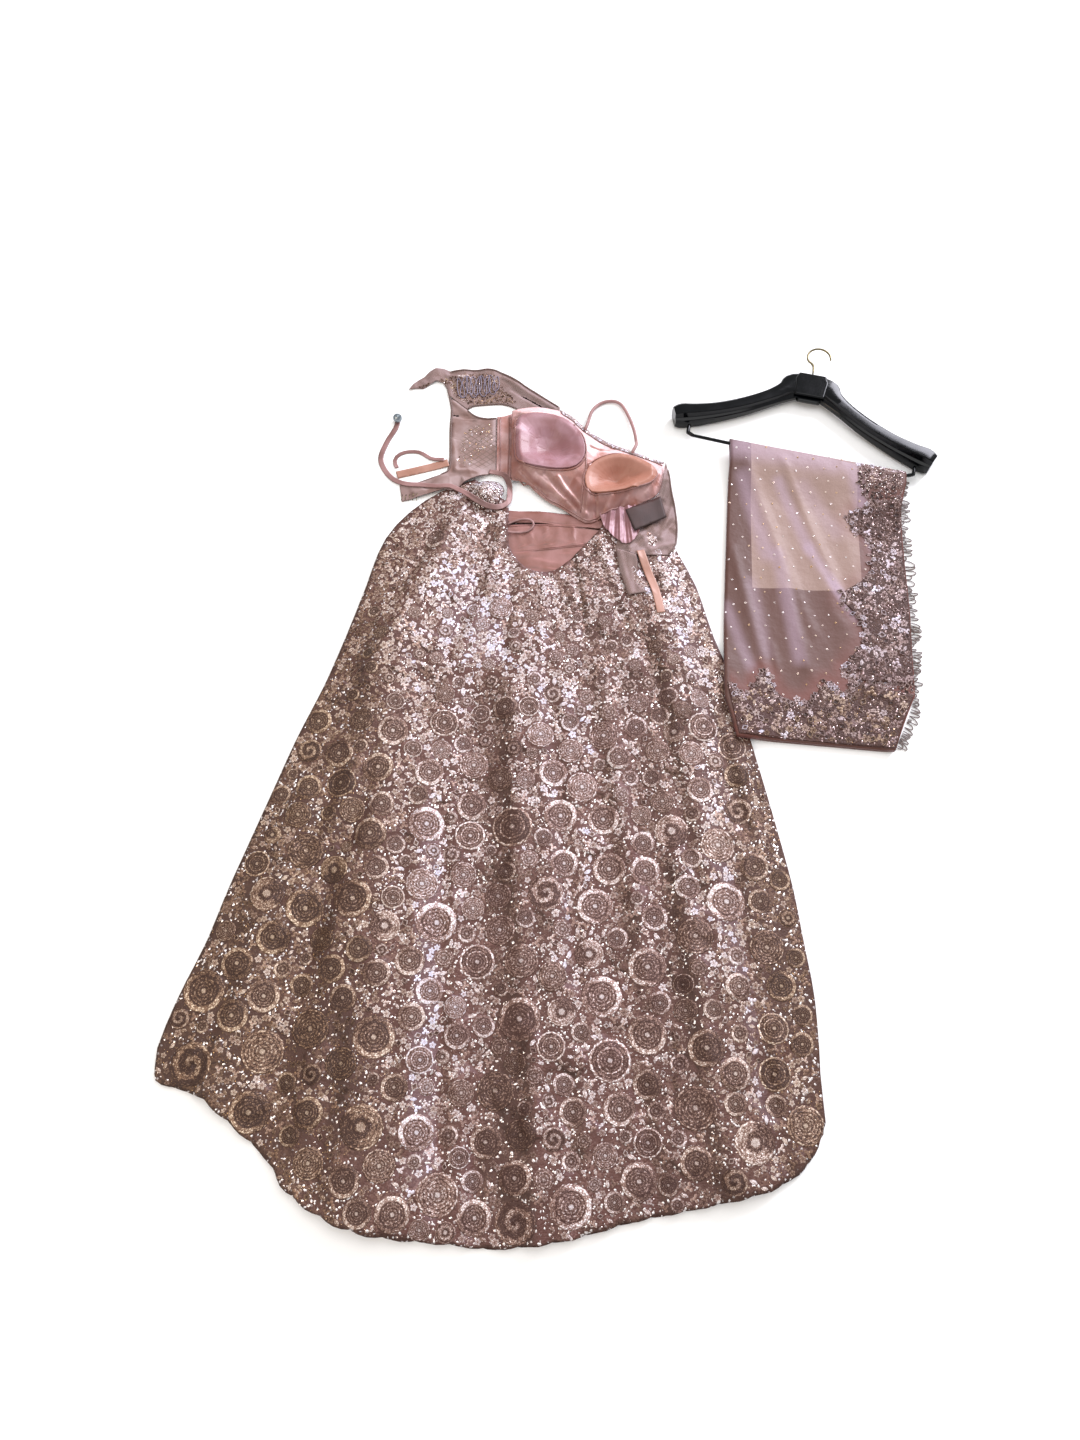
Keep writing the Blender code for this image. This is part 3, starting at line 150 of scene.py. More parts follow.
class Graph:
    """A Principled material, and short ways to add the nodes that the finishes share."""

    def __init__(self, name: str) -> None:
        """Starts the material.

        Args:
            name: Its name.
        """
        self.material = bpy.data.materials.new(name)
        self.material.use_nodes = True
        self.tree = self.material.node_tree
        self.place = self.node("TexCoord").outputs["Object"]

    def node(self, kind: str, inputs: dict | None = None, **settings: Any) -> Node:
        """One shader node, as add_node makes it."""
        return add_node(self.tree, "ShaderNode" + kind, inputs, **settings)

    def maths(self, operation: str, a: Any, b: Any = 0.0) -> Socket:
        """One arithmetic step on sockets or numbers."""
        return math_node(self.tree, operation, a, b)

    def times(self, a: Any, b: Any) -> Socket:
        """The product of two sockets or numbers."""
        return self.maths("MULTIPLY", a, b)

    def mix(self, factor: Any, a: Any, b: Any) -> Socket:
        """Mixes two colours, sockets or hex texts, by a factor from 0 to 1."""
        return self.node("Mix", {0: factor, 6: a, 7: b}, data_type="RGBA").outputs[2]

    def ramp(self, value: Socket, *stops: Point) -> Socket:
        """A value mapped straight between two stops, each (position, value), and level past them."""
        node = self.node("ValToRGB", {"Fac": value})
        for element, (place, level) in zip(node.color_ramp.elements, stops):
            element.position = place
            element.color = (level, level, level, 1)
        return node.outputs[0]

    def stored(self, name: str) -> Socket:
        """A number that is stored on the mesh's points."""
        return self.node("Attribute", attribute_name=name).outputs["Fac"]

    def mapped(self, at: Socket, **inputs: tuple[float, float, float]) -> Socket:
        """A place that is turned, moved or scaled."""
        return self.node("Mapping", {"Vector": at, **inputs}).outputs[0]

    def noise(self, scale: float, detail: float = 2.0) -> Socket:
        """Soft noise all over the part."""
        return self.node("TexNoise", {"Vector": self.place, "Scale": scale, "Detail": detail}).outputs[0]

    def cells(self, at: Socket, scale: float, randomness: float = 1.0) -> tuple[Socket, Socket, Socket]:
        """Round cells: the distance from a cell's middle, and two numbers of the cell's own."""
        found = self.node("TexVoronoi", {"Vector": at, "Scale": scale, "Randomness": randomness}).outputs
        own = self.node("SeparateColor", {0: found["Color"]}).outputs
        return found["Distance"], own[0], own[1]

    def bump(self, height: Socket, strength: float, distance: float) -> Socket:
        """The normal over a relief."""
        return self.node("Bump", {"Height": height, "Strength": strength, "Distance": distance}).outputs[0]

    def finished(self, inputs: dict) -> Material:
        """Feeds the Principled shader and gives the material."""
        feed(self.tree, self.tree.nodes["Principled BSDF"], inputs)
        return self.material


@dataclass(frozen=True)
class SequinnedNet:
    """Net ground sewn over with fine sequins: a matt rose-brown that glints in points."""

    name: str = "sequinned_net"
    ground: str = "#5a332b"
    warm_shade_ground: str = "#452718"
    stitch: str = "#83605a"
    warm_shade_stitch: str = "#77563d"
    glint: str = "#efe6e4"
    sequin_mm: float = 2.4

    def make(self) -> Material:
        """Builds the material.

        Returns:
            The material.
        """
        g = Graph(self.name)
        lit = g.stored("lit")
        away = g.maths("SUBTRACT", 1.0, lit)
        # Painted warm shade: gold at both sides of the skirt, where it falls away from the light, and where the
        # cloth turns away
        side = g.maths("ADD", g.node("SeparateXYZ", {0: g.place}).outputs[0], 0.06)
        warmth = g.ramp(g.maths("ABSOLUTE", side), (0.12, 0.0), (0.42, 1.0))
        warmth = g.maths("MAXIMUM", warmth, g.times(away, 0.6))
        base = g.mix(warmth, self.ground, self.warm_shade_ground)
        distance, own, other = g.cells(g.place, 1000 / self.sequin_mm)
        worked = g.ramp(g.noise(26.0, 5.0), (0.42, 0.0), (0.62, 1.0))
        threads = g.times(worked, g.times(g.ramp(own, (0.45, 0.0), (0.62, 1.0)), 0.75))
        base = g.mix(threads, base, g.mix(warmth, self.stitch, self.warm_shade_stitch))
        # Painted shade: dark brown where the cloth turns away from the light
        base = g.mix(g.times(away, 0.55), base, "#2a1b15")
        # Painted lilac sheen where the cloth is turned most to the light
        base = g.mix(g.ramp(lit, (0.80, 0.0), (1.0, 0.14)), base, "#938596")
        glint = g.ramp(other, (0.91, 0.0), (0.95, 1.0))
        return g.finished({"Base Color": g.mix(glint, base, self.glint),
                           "Roughness": g.ramp(glint, (0.0, 0.62), (1.0, 0.22)),
                           "Metallic": g.ramp(glint, (0.0, 0.0), (1.0, 0.7)),
                           "Normal": g.bump(g.maths("SUBTRACT", 1.0, distance), 0.75, 0.0012)})


@dataclass(frozen=True)
class BeadedThread:
    """Metal thread and seed beads in rows: silvery, each bead with its own small highlight."""

    name: str
    dark: str = "#472b25"
    middle: str = "#97786f"
    light: str = "#f4ecef"
    warm_dark: str = "#382117"
    warm_middle: str = "#866750"
    warm_light: str = "#e0cab0"
    metal: float = 0.35

    def make(self) -> Material:
        """Builds the material.

        Returns:
            The material.
        """
        g = Graph(self.name)
        lit = g.stored("lit")
        distance, own, other = g.cells(g.node("UVMap", uv_map="stitch").outputs[0], 1.0, 0.55)
        # The tone stored on the motif, its beads' own, the gaps between them, and painted light and shade from
        # how far the cloth is turned to the light
        level = g.maths("ADD", g.stored("tone"), g.times(g.maths("SUBTRACT", own, 0.5), 0.38))
        level = g.maths("SUBTRACT", level, g.times(g.ramp(distance, (0.30, 0.0), (0.62, 1.0)), 0.40))
        level = g.maths("ADD", level, g.times(g.maths("SUBTRACT", lit, FLAT_LIGHT), 0.62))
        rise = g.ramp(level, (0.08, 0.0), (0.50, 1.0))
        peak = g.ramp(level, (0.48, 0.0), (0.88, 1.0))
        # A painted cool highlight on the bright beads where the cloth is turned most to the light
        bright = g.mix(g.ramp(lit, (0.74, 0.0), (1.0, 0.9)), self.light, "#e2e1f6")
        cool = g.mix(peak, g.mix(rise, self.dark, self.middle), bright)
        gold = g.mix(peak, g.mix(rise, self.warm_dark, self.warm_middle), self.warm_light)
        return g.finished({"Base Color": g.mix(g.stored("warm"), cool, gold), "Metallic": self.metal,
                           "Roughness": g.ramp(other, (0.0, 0.28), (1.0, 0.55)),
                           "Normal": g.bump(g.maths("SUBTRACT", 1.0, distance), 0.8, 0.0012)})


@dataclass(frozen=True)
class Sequin:
    """Cupped metallised sequins and cut beads: small mirrors that flash at their own angles."""

    name: str
    colour: str = "#e8dfe2"
    gold: str = "#b8946c"

    def make(self) -> Material:
        """Builds the material.

        Returns:
            The material.
        """
        g = Graph(self.name)
        return g.finished({"Base Color": g.mix(g.stored("warm"), self.colour, self.gold), "Metallic": 0.8,
                           "Roughness": g.ramp(g.stored("lit"), (0.2, 0.42), (0.9, 0.20))})


class Weave(Enum):
    """How a cloth's threads cross."""

    SATIN = "satin"
    RIBBON = "ribbon"
    NET = "net"
    LATTICE = "lattice"


@dataclass(frozen=True)
class Woven:
    """Woven or netted cloth: satin shines along its folds, partly by painted highlights and shade, net is matt
    with fine holes.
    """

    name: str
    colour: str
    shade: str
    light: str
    deep: str
    weave: Weave = Weave.SATIN
    thread_mm: float = 1.2
    roughness: float = 0.42
    sheen: float = 0.35
    turn: float = 0.0
    thread: str = "#d6c6be"
    # The middle and half sizes of the only part that is worked as a lattice
    worked: tuple[float, float, float, float] | None = None

    def lattice_share(self, g: Graph) -> Any:
        """How much of the crossed threads shows: all over, or in one oval."""
        if self.worked is None:
            return 1.0
        x, y, half_x, half_y = self.worked
        off = g.mapped(g.place, Location=(-x / half_x, -y / half_y, 0), Scale=(1 / half_x, 1 / half_y, 0))
        length = g.node("VectorMath", {0: off}, operation="LENGTH").outputs["Value"]
        return g.ramp(length, (0.82, 1.0), (1.0, 0.0))

    def make(self) -> Material:
        """Builds the material.

        Returns:
            The material.
        """
        g = Graph(self.name)
        lit = g.stored("lit")
        turned = g.mapped(g.place, Rotation=(0, 0, self.turn))
        height = g.node("TexNoise", {"Vector": g.mapped(turned, Scale=(900, 60, 60)), "Scale": 1.0}).outputs[0]
        base = g.mix(g.ramp(g.noise(34.0, 3.0), (0.35, 0.0), (0.65, 1.0)), self.shade, self.light)
        base = g.mix(0.45, base, self.colour)
        # Painted shade where the cloth turns away from the light, and a painted highlight where it is turned
        # most to it
        base = g.mix(g.times(g.maths("SUBTRACT", 1.0, lit), 0.70), base, self.deep)
        base = g.mix(g.ramp(lit, (0.70, 0.0), (1.0, 0.55)), base, self.light)
        if self.weave in (Weave.NET, Weave.LATTICE):
            pitch = 1000 / self.thread_mm
            cross = []
            for angle in (THREAD_ANGLE, -THREAD_ANGLE):
                tilt = g.mapped(turned, Rotation=(0, 0, angle), Scale=(pitch, pitch, pitch))
                saw = g.maths("PINGPONG", g.node("SeparateXYZ", {0: tilt}).outputs[0], 0.5)
                cross.append(g.ramp(g.times(saw, 2.0), (0.0, 1.0), (0.30, 0.0)))
            height = g.times(g.maths("MAXIMUM", *cross), self.lattice_share(g))
            base = g.mix(g.times(height, 0.8), base, self.thread)
        return g.finished({"Base Color": base, "Roughness": self.roughness, "Sheen Weight": self.sheen,
                           "Sheen Roughness": 0.4, "Sheen Tint": self.light,
                           "Normal": g.bump(height, 0.30, 0.0004)})


@dataclass(frozen=True)
class LayeredVeil:
    """Several layers of mauve-pink net over each other, lighter where fewer layers lie."""

    name: str = "layered_veil"
    deep: str = "#55332a"
    pale: str = "#8e746a"
    edge: str = "#52332b"
    sheen_colour: str = "#a790a0"
    peach: str = "#6d382f"
    # The corners of the paler field, where the fold holds fewer layers
    pale_low: Point = (0.244, 0.245)
    pale_high: Point = (0.412, 0.520)

    def make(self) -> Material:
        """Builds the material.

        Returns:
            The material.
        """
        g = Graph(self.name)
        # The fold's edges run a little off square with the frame
        axes = g.node("SeparateXYZ", {0: g.mapped(g.place, Rotation=(0, 0, 0.055))}).outputs
        inside = 1.0
        for axis, low, high in zip(axes, self.pale_low, self.pale_high):
            inside = g.times(inside, g.maths("GREATER_THAN", axis, low))
            inside = g.times(inside, g.maths("LESS_THAN", axis, high))
        base = g.mix(inside, self.deep, self.pale)
        strip = g.maths("LESS_THAN", axes[0], self.pale_low[0] - 0.003)
        base = g.mix(g.times(strip, 0.55), base, self.edge)
        base = g.mix(g.times(g.stored("near_border"), 0.85), base, self.peach)
        # Painted sheen along the listed bands
        base = g.mix(g.stored("gleam"), base, self.sheen_colour)
        holes = g.ramp(g.cells(g.place, 1000 / 1.3)[0], (0.2, 0.0), (0.7, 1.0))
        return g.finished({"Base Color": g.mix(g.times(holes, 0.16), base, "#573b36"), "Roughness": 0.55,
                           "Sheen Weight": 0.5, "Sheen Roughness": 0.3, "Sheen Tint": self.sheen_colour,
                           "Normal": g.bump(g.noise(60.0, 3.0), 0.35, 0.004)})


@dataclass(frozen=True)
class Moulded:
    """Injection moulded glossy plastic: near black with a faint cold sheen and handling marks."""

    name: str = "black_polystyrene"
    colour: str = "#030406"
    roughness: float = 0.12

    def make(self) -> Material:
        """Builds the material.

        Returns:
            The material.
        """
        g = Graph(self.name)
        marks = g.noise(70.0, 3.0)
        return g.finished({
            "Base Color": g.mix(g.ramp(marks, (0.4, 0.0), (0.8, 1.0)), self.colour, "#06070a"),
            "Roughness": g.ramp(marks, (0.35, self.roughness), (0.75, self.roughness + 0.05)),
            "Specular IOR Level": 0.20})


@dataclass(frozen=True)
class PlatedWire:
    """Nickel plated steel wire, drawn, so it shines with fine lines along it."""

    name: str = "plated_wire"

    def make(self) -> Material:
        """Builds the material.

        Returns:
            The material.
        """
        g = Graph(self.name)
        return g.finished({"Base Color": "#6b6148", "Metallic": 1.0,
                           "Roughness": g.ramp(g.noise(700.0), (0.3, 0.16), (0.8, 0.34))})


@dataclass(frozen=True)
class CutCrystal:
    """Cut glass: clear and bright at its facets."""

    name: str = "cut_crystal"

    def make(self) -> Material:
        """Builds the material.

        Returns:
            The material.
        """
        g = Graph(self.name)
        return g.finished({"Base Color": "#7b858c", "Metallic": 0.5, "Transmission Weight": 0.25, "IOR": 1.6,
                           "Roughness": g.ramp(g.noise(400.0), (0.3, 0.03), (0.9, 0.12))})


def object_of(name: str, mesh: Mesh, finish: Material | None = None,
              smooth: bool = True) -> Object:
    """Links a mesh to the scene as an object at the origin.

    Args:
        name: The piece's name.
        mesh: Its mesh.
        finish: Its material.
        smooth: Whether its faces are shaded smooth.

    Returns:
        The object.
    """
    obj = bpy.data.objects.new(name, mesh)
    bpy.context.scene.collection.objects.link(obj)
    if finish is not None:
        mesh.materials.clear()
        mesh.materials.append(finish)
    if smooth:
        mesh.shade_smooth()
    return obj


def mesh_of(form: bmesh.types.BMesh, name: str) -> Mesh:
    """Turns a form into a mesh and frees it."""
    mesh = bpy.data.meshes.new(name)
    form.to_mesh(mesh)
    form.free()
    return mesh


def form_of(node: str) -> bmesh.types.BMesh:
    """A CAD node's form, with the points that meet joined."""
    form = bmesh.new()
    form.from_mesh(frame["nodes"][node].data)
    bmesh.ops.remove_doubles(form, verts=form.verts, dist=WELD)
    return form


def bridge(form: bmesh.types.BMesh, rings: list[list], closed: bool = False) -> None:
    """Joins rings of points by faces, end to end or with a face over each end."""
    count = len(rings[0])
    for here, there in zip(rings, rings[1:] + rings[:1] if closed else rings[1:]):
        for k in range(count):
            m = (k + 1) % count
            form.faces.new((here[k], here[m], there[m], there[k]))
    if not closed:
        form.faces.new(rings[0][::-1])
        form.faces.new(rings[-1])


def declare(obj: Object, slot: str, *nodes: str) -> Object:
    """Attaches a piece to the body that it rides and hides the CAD nodes that it stands for."""
    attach(obj, BODY)
    if nodes:
        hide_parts(*nodes)
    return obj


def plain_mesh(obj: Object, name: str) -> Mesh:
    """The mesh that an object's modifiers make, as a mesh of its own.

    Args:
        obj: The object.
        name: The new mesh's name.

    Returns:
        The new mesh.
    """
    bpy.context.view_layer.update()
    graph = bpy.context.evaluated_depsgraph_get()
    mesh = bpy.data.meshes.new_from_object(obj.evaluated_get(graph), preserve_all_data_layers=True,
                                           depsgraph=graph)
    mesh.name = name
    return mesh


def settle(obj: Object) -> None:
    """Makes an object's modifiers part of its mesh."""
    made = plain_mesh(obj, obj.name)
    obj.modifiers.clear()
    obj.data = made


def surface_of(*objects: Object) -> BVHTree:
    """A tree that rays are cast at, for the meshes of some finished pieces."""
    points: list[Vector] = []
    faces: list[tuple[int, ...]] = []
    for obj in objects:
        start = len(points)
        points += [v.co.copy() for v in obj.data.vertices]
        faces += [tuple(start + i for i in p.vertices) for p in obj.data.polygons]
    return BVHTree.FromPolygons(points, faces)


def cloth_at(surface: BVHTree, x: float, y: float) -> tuple[Vector | None, Vector | None]:
    """The point and the normal of what lies at a point of the plan, None where nothing does."""
    return surface.ray_cast(Vector((x, y, ABOVE)), DOWN)[:2]


def clamp(value: float, high: float = 1.0) -> float:
    """A value kept between 0 and a greatest one."""
    return min(max(value, 0.0), high)


def spun(chance: random.Random, lean: float = 0.0) -> tuple[float, float, float]:
    """A random turn about the cloth's normal, leaning a little where that is given."""
    tilt = (chance.gauss(0, lean), chance.gauss(0, lean)) if lean else (0, 0)
    return (*tilt, chance.uniform(0, FULL_TURN))


def metres(value: Any, plain: int = -1) -> Any:
    """Turns a table in millimetres to metres, however deep it is.

    Args:
        value: A length, or a sequence of lengths or of sequences.
        plain: The column that isn't a length.

    Returns:
        The same in metres.
    """
    if isinstance(value, (int, float)):
        return round(value / 1000, 7)
    return tuple(v if i == plain and not isinstance(v, tuple) else metres(v, plain)
                 for i, v in enumerate(value))


def ease(value: float) -> float:
    """A soft step from 0 to 1."""
    value = clamp(value)
    return value * value * (3 - 2 * value)


def sum_of_bands(bands: Sequence[Crease], x: float, y: float) -> float:
    """What soft bands along short lines add up to at a point of the plan.

    Args:
        bands: (x, y, x, y, height, reach) of each.
        x: Across.
        y: Along.

    Returns:
        The sum of the bands' heights there.
    """
    total = 0.0
    for ax, ay, bx, by, height, reach in bands:
        dx, dy = bx - ax, by - ay
        length = math.hypot(dx, dy)
        along = ((x - ax) * dx + (y - ay) * dy) / length
        side = abs((x - ax) * dy - (y - ay) * dx) / length
        if side < reach and -reach < along < length + reach:
            ends = ease((along + reach) / reach) * ease((length + reach - along) / reach)
            total += height * math.cos(side / reach * math.pi / 2) ** 2 * ends
    return total


def facing(normal: Vector, steepness: float = 1.0) -> float:
    """How far cloth is turned to the upper right, from 0 to 1, FLAT_LIGHT where it lies flat."""
    slope = (0.45 * normal.x + 0.55 * normal.y) * (1 if normal.z >= 0 else -1)
    return clamp(FLAT_LIGHT + steepness * (1.5 * slope - 0.9 * (1 - abs(normal.z))))


def paint(mesh: Mesh, name: str, values: Sequence[float]) -> None:
    """Stores one number for each point of a mesh, which its material reads."""
    mesh.attributes.new(name, "FLOAT", "POINT").data.foreach_set("value", values)


def smooth_line(points: Sequence[Point], closed: bool = False,
                steps: int = 6) -> list[Point]:
    """Points along a Catmull-Rom curve through the given ones.

    Args:
        points: Plan points.
        closed: Whether the line meets itself.
        steps: How many points each stretch gets.

    Returns:
        The finer line.
    """
    count = len(points)
    found = []
    for i in range(count if closed else count - 1):
        if closed:
            known = [points[(i + k) % count] for k in (-1, 0, 1, 2)]
        else:
            known = [points[min(max(i + k, 0), count - 1)] for k in (-1, 0, 1, 2)]
        for step in range(steps):
            t = step / steps
            weights = (-t + 2 * t * t - t ** 3, 2 - 5 * t * t + 3 * t ** 3,
                       t + 4 * t * t - 3 * t ** 3, t ** 3 - t * t)
            found.append(tuple(sum(w * p[axis] for w, p in zip(weights, known)) / 2 for axis in (0, 1)))
    return found if closed else found + [points[-1]]


def loop_line(x: float, y: float, half_width: float, half_length: float,
              lean: float) -> list[Point]:
    """The plan line of one slim loop of thread, wider at its foot."""
    line = []
    for k in range(28):
        angle = 2 * math.pi * k / 28
        across = half_width * math.cos(angle) * (1 - 0.35 * math.sin(angle))
        along = half_length * math.sin(angle)
        line.append((x + across - along * lean, y + along + across * lean))
    return line


@dataclass
class Cords:
    """Piping, seams, loops and strands: round threads laid over other pieces.

    Attributes:
        name: The piece's name.
        slot: A material slot's name, which is not used.
        radius: The thread's radius.
        lines: Plan lines, each with whether it is closed.
        over: The pieces that they lie on; the floor where there is none.
        sink: The share of the radius that is below the cloth.
        sides: Points round the thread.
    """

    name: str
    slot: str
    radius: float
    lines: list[tuple[Sequence[Point], bool]]
    over: Sequence[Object] = ()
    sink: float = 0.5
    sides: int = 6

    def build(self, finish: Material, *nodes: str) -> Object:
        """Makes the piece.

        Args:
            finish: Its material.
            *nodes: CAD nodes that it stands for.

        Returns:
            The piece.
        """
        surface = surface_of(*self.over) if self.over else None
        form = bmesh.new()
        for line, closed in self.lines:
            route = []
            for x, y in line:
                at = cloth_at(surface, x, y)[0] if surface else None
                base = at.z if at else 0.0
                route.append(Vector((x, y, base + self.radius * (1 - self.sink if at else 1))))
            self.tube(form, route, closed)
        return declare(object_of(self.name, mesh_of(form, self.name), finish), self.slot, *nodes)

    def tube(self, form: bmesh.types.BMesh, route: list[Vector], closed: bool) -> None:
        """Adds one closed tube along a route.

        Args:
            form: What it is added to.
            route: The tube's middle line.
            closed: Whether it meets itself.
        """
        count = len(route)
        rings = []
        for i, middle in enumerate(route):
            before = route[(i - 1) % count] if closed or i else middle
            after = route[(i + 1) % count] if closed or i < count - 1 else middle
            along = (after - before).normalized()
            side = Vector((along.y, -along.x, 0.0))
            side = side.normalized() if side.length > 1e-6 else Vector((1, 0, 0))
            up = side.cross(along)
            end = not closed and i in (0, count - 1)
            radius = self.radius * (0.5 if end else 1.0)
            rings.append([form.verts.new(middle + radius * (math.cos(a) * side + math.sin(a) * up))
                          for a in (2 * math.pi * k / self.sides for k in range(self.sides))])
        bridge(form, rings, closed)


@dataclass
class LaidCloth:
    """A sheet of cloth on its solid's form: finer, softened and creased.

    Attributes:
        name: The piece's name.
        node: The CAD node that it stands for.
        slot: A material slot's name, which is not used.
        flat: Width and length that the cloth was cut to, where it isn't padded; it is not used.
        area: The cut's area where it isn't a rectangle; it is not used.
        splits: How many times each edge is halved.
        softening: Passes that even its heights out.
        creases: (x, y, x, y, height, reach) of each crease.
        held: How the cloth is held; it is not used.
        rests_on: What it lies on; it is not used.
        padding: How full a padded piece is; it is not used.
        steepness: How strongly its slopes change its painted light and shade.
        glows: Bands where it catches more or less light.
        raised: How far it lies above its solid.
    """

    name: str
    node: str
    slot: str
    flat: Point | None
    area: float | None = None
    splits: int = 2
    softening: int = 4
    creases: tuple[Crease, ...] = ()
    held: str = "laid"
    rests_on: tuple[str, ...] = ()
    padding: float | None = None
    steepness: float = 1.0
    glows: tuple[Crease, ...] = ()
    raised: float = 0.0

    def build(self, finish: Material) -> Object:
        """Args:
            finish: Its material.

        Returns:
            The piece.
        """
        form = form_of(self.node)
        for _ in range(self.splits):
            bmesh.ops.subdivide_edges(form, edges=form.edges[:], cuts=1, use_grid_fill=True)
        bmesh.ops.triangulate(form, faces=form.faces[:])
        low = min(v.co.z for v in form.verts)
        for _ in range(self.softening):
            bmesh.ops.smooth_vert(form, verts=form.verts[:], factor=0.5, use_axis_z=True)
        for vert in form.verts:
            crease = sum_of_bands(self.creases, vert.co.x, vert.co.y)
            vert.co.z = max(low, vert.co.z + crease) + self.raised
        mesh = mesh_of(form, self.name)
        # Painted light and shade for its material: how far each point is turned to the light, with the glows
        # added
        paint(mesh, "lit", [clamp(facing(v.normal, self.steepness) + sum_of_bands(self.glows, v.co.x, v.co.y))
                            for v in mesh.vertices])
        obj = declare(object_of(self.name, mesh, finish), self.slot, self.node)
        return obj


@dataclass
class Solid:
    """A firm piece on its solid's form, made rounder."""

    name: str
    node: str
    slot: str
    levels: int = 1
    smooth: bool = True

    def build(self, finish: Material) -> Object:
        """Makes the piece.

        Args:
            finish: Its material.

        Returns:
            The piece.
        """
        form = form_of(self.node)
        bmesh.ops.dissolve_limit(form, angle_limit=0.01, verts=form.verts[:], edges=form.edges[:])
        obj = object_of(self.name, mesh_of(form, self.name), finish, self.smooth)
        if self.levels:
            rounder = obj.modifiers.new("Rounding", "SUBSURF")
            rounder.levels = self.levels
            rounder.render_levels = self.levels
            settle(obj)
        return declare(obj, self.slot, self.node)


class Motif(Enum):
    """The kinds of thread and bead work, in the order that they are picked by number."""

    TARGET = 0
    DAHLIA = 1
    CRESCENT = 2
    SPIRAL = 3
    RINGED = 4


class Spray(Enum):
    """The small motifs, in the order that they are picked by number."""

    LEAF = 0
    FLOWER = 1
    KITE = 2
    CLUSTER = 3


class MotifMesh:
    """Builds one small motif of domes, leaves, rings and frames, with its tone and bead rows."""

    def __init__(self) -> None:
        """Starts with no points."""
        self.points: list[tuple[float, float, float]] = []
        self.tones: list[float] = []
        self.faces: list[tuple[int, ...]] = []
        self.rows: list[list[Point]] = []

    def point(self, x: float, y: float, z: float, tone: float) -> int:
        """Adds a point and gives its number."""
        self.points.append((x, y, z))
        self.tones.append(tone)
        return len(self.points) - 1

    def face(self, corners: tuple[int, ...], *places: Point) -> None:
        """Adds a face, with where its corners lie in the bead rows."""
        self.faces.append(corners)
        self.rows.append(list(places))

    def rings(self, rows: int, columns: int, tone: Callable[[float, float], float],
              height: Callable[[float], float], scallop: float) -> None:
        """Adds rings about the middle, out to a radius of 1.

        Args:
            rows: Rings from the middle to the rim.
            columns: Points round each ring.
            tone: Brightness at a radius and an angle.
            height: Height at a radius.
            scallop: How far the rim waves in and out.
        """
        start = self.point(0.0, 0.0, height(0.0), tone(0.0, 0.0))
        for row in range(1, rows + 1):
            radius = row / rows
            for column in range(columns):
                angle = 2 * math.pi * (column + 0.5 * (row % 2)) / columns
                reach = radius * (1 + scallop * radius * (1 if column % 2 else -1))
                self.point(reach * math.cos(angle), reach * math.sin(angle), height(radius), tone(radius, angle))
        beads = 46 / columns
        for column in range(columns):
            after = (column + 1) % columns
            left, right = beads * column, beads * (column + 1)
            self.face((start, start + 1 + column, start + 1 + after), (left, 0.0), (left, 1.0), (right, 1.0))
            for row in range(rows - 1):
                a = start + 1 + row * columns
                b = a + columns
                low, high = 1.0 + row, 2.0 + row
                self.face((a + column, b + column, b + after, a + after),
                          (left, low), (left, high), (right, high), (right, low))

    def dome(self, x: float, y: float, radius: float, height: float, tone: float, sides: int) -> None:
        """Adds a bead or petal end as a low dome."""
        start = self.point(x, y, height, tone)
        for i in range(sides):
            angle = 2 * math.pi * i / sides
            self.point(x + radius * math.cos(angle), y + radius * math.sin(angle), 0.0, tone * 0.75)
        for i in range(sides):
            self.face((start, start + 1 + i, start + 1 + (i + 1) % sides),
                      (0.5, 0.5), (i * 0.3, 1.2), (i * 0.3 + 0.3, 1.2))

    def leaf(self, root: Point, turn: float, length: float, width: float, tone: float, steps: int) -> None:
        """Adds a pointed leaf of bead rows, raised along its middle.

        Args:
            root: Where the leaf starts.
            turn: Its direction in radians.
            length: Its length.
            width: Its greatest width.
            tone: Its brightness.
            steps: Points along it.
        """
        start = len(self.points)
        ax, ay = math.cos(turn), math.sin(turn)
        for i in range(steps + 1):
            share = i / steps
            half = width / 2 * math.sin(math.pi * share) ** 0.8 if 0 < share < 1 else 0.0
            px, py = root[0] + ax * length * share, root[1] + ay * length * share
            for side, height in ((-1, 0.0), (0, 0.9), (1, 0.0)):
                self.point(px - ay * half * side, py + ax * half * side,
                           height * width * 0.22 * math.sin(math.pi * share), tone if side else tone * 0.8)
        for i in range(steps):
            for side in (0, 1):
                a, near, far, v = start + i * 3 + side, i * 1.3, i * 1.3 + 1.3, side * 2.0
                self.face((a, a + 3, a + 4, a + 1), (near, v), (far, v), (far, v + 2), (near, v + 2))

    def outline(self, corners: Sequence[Point], band: float, tone: float, middle: float) -> None:
        """Adds a closed outline of one thick bead row round a darker middle."""
        start, count = len(self.points), len(corners)
        for share, height in ((1.0, 0.0), (1 - band / 2, 0.12), (1 - band, 0.02)):
            for x, y in corners:
                self.point(x * share, y * share, height, tone if share > 1 - band else (tone + middle) / 2)
        last = self.point(0.0, 0.0, 0.02, middle)
        for i in range(count):
            j = (i + 1) % count
            for ring in (0, 1):
                a, b = start + ring * count, start + (ring + 1) * count
                self.face((a + i, a + j, b + j, b + i), (0, ring), (4, ring), (4, ring + 1), (0, ring + 1))
            inner = start + 2 * count
            self.face((inner + i, inner + j, last), (0, 0), (2, 0), (1, 2))

    def mesh(self, name: str) -> Mesh:
        """The motif's mesh, with its tone on the points and its bead rows as a UV map.

        Args:
            name: The mesh's name.

        Returns:
            The mesh.
        """
        mesh = bpy.data.meshes.new(name)
        mesh.from_pydata(self.points, [], self.faces)
        paint(mesh, "tone", self.tones)
        flat = [c for face in self.rows for pair in face for c in pair]
        mesh.uv_layers.new(name="stitch").data.foreach_set("uv", flat)
        mesh.update()
        return mesh


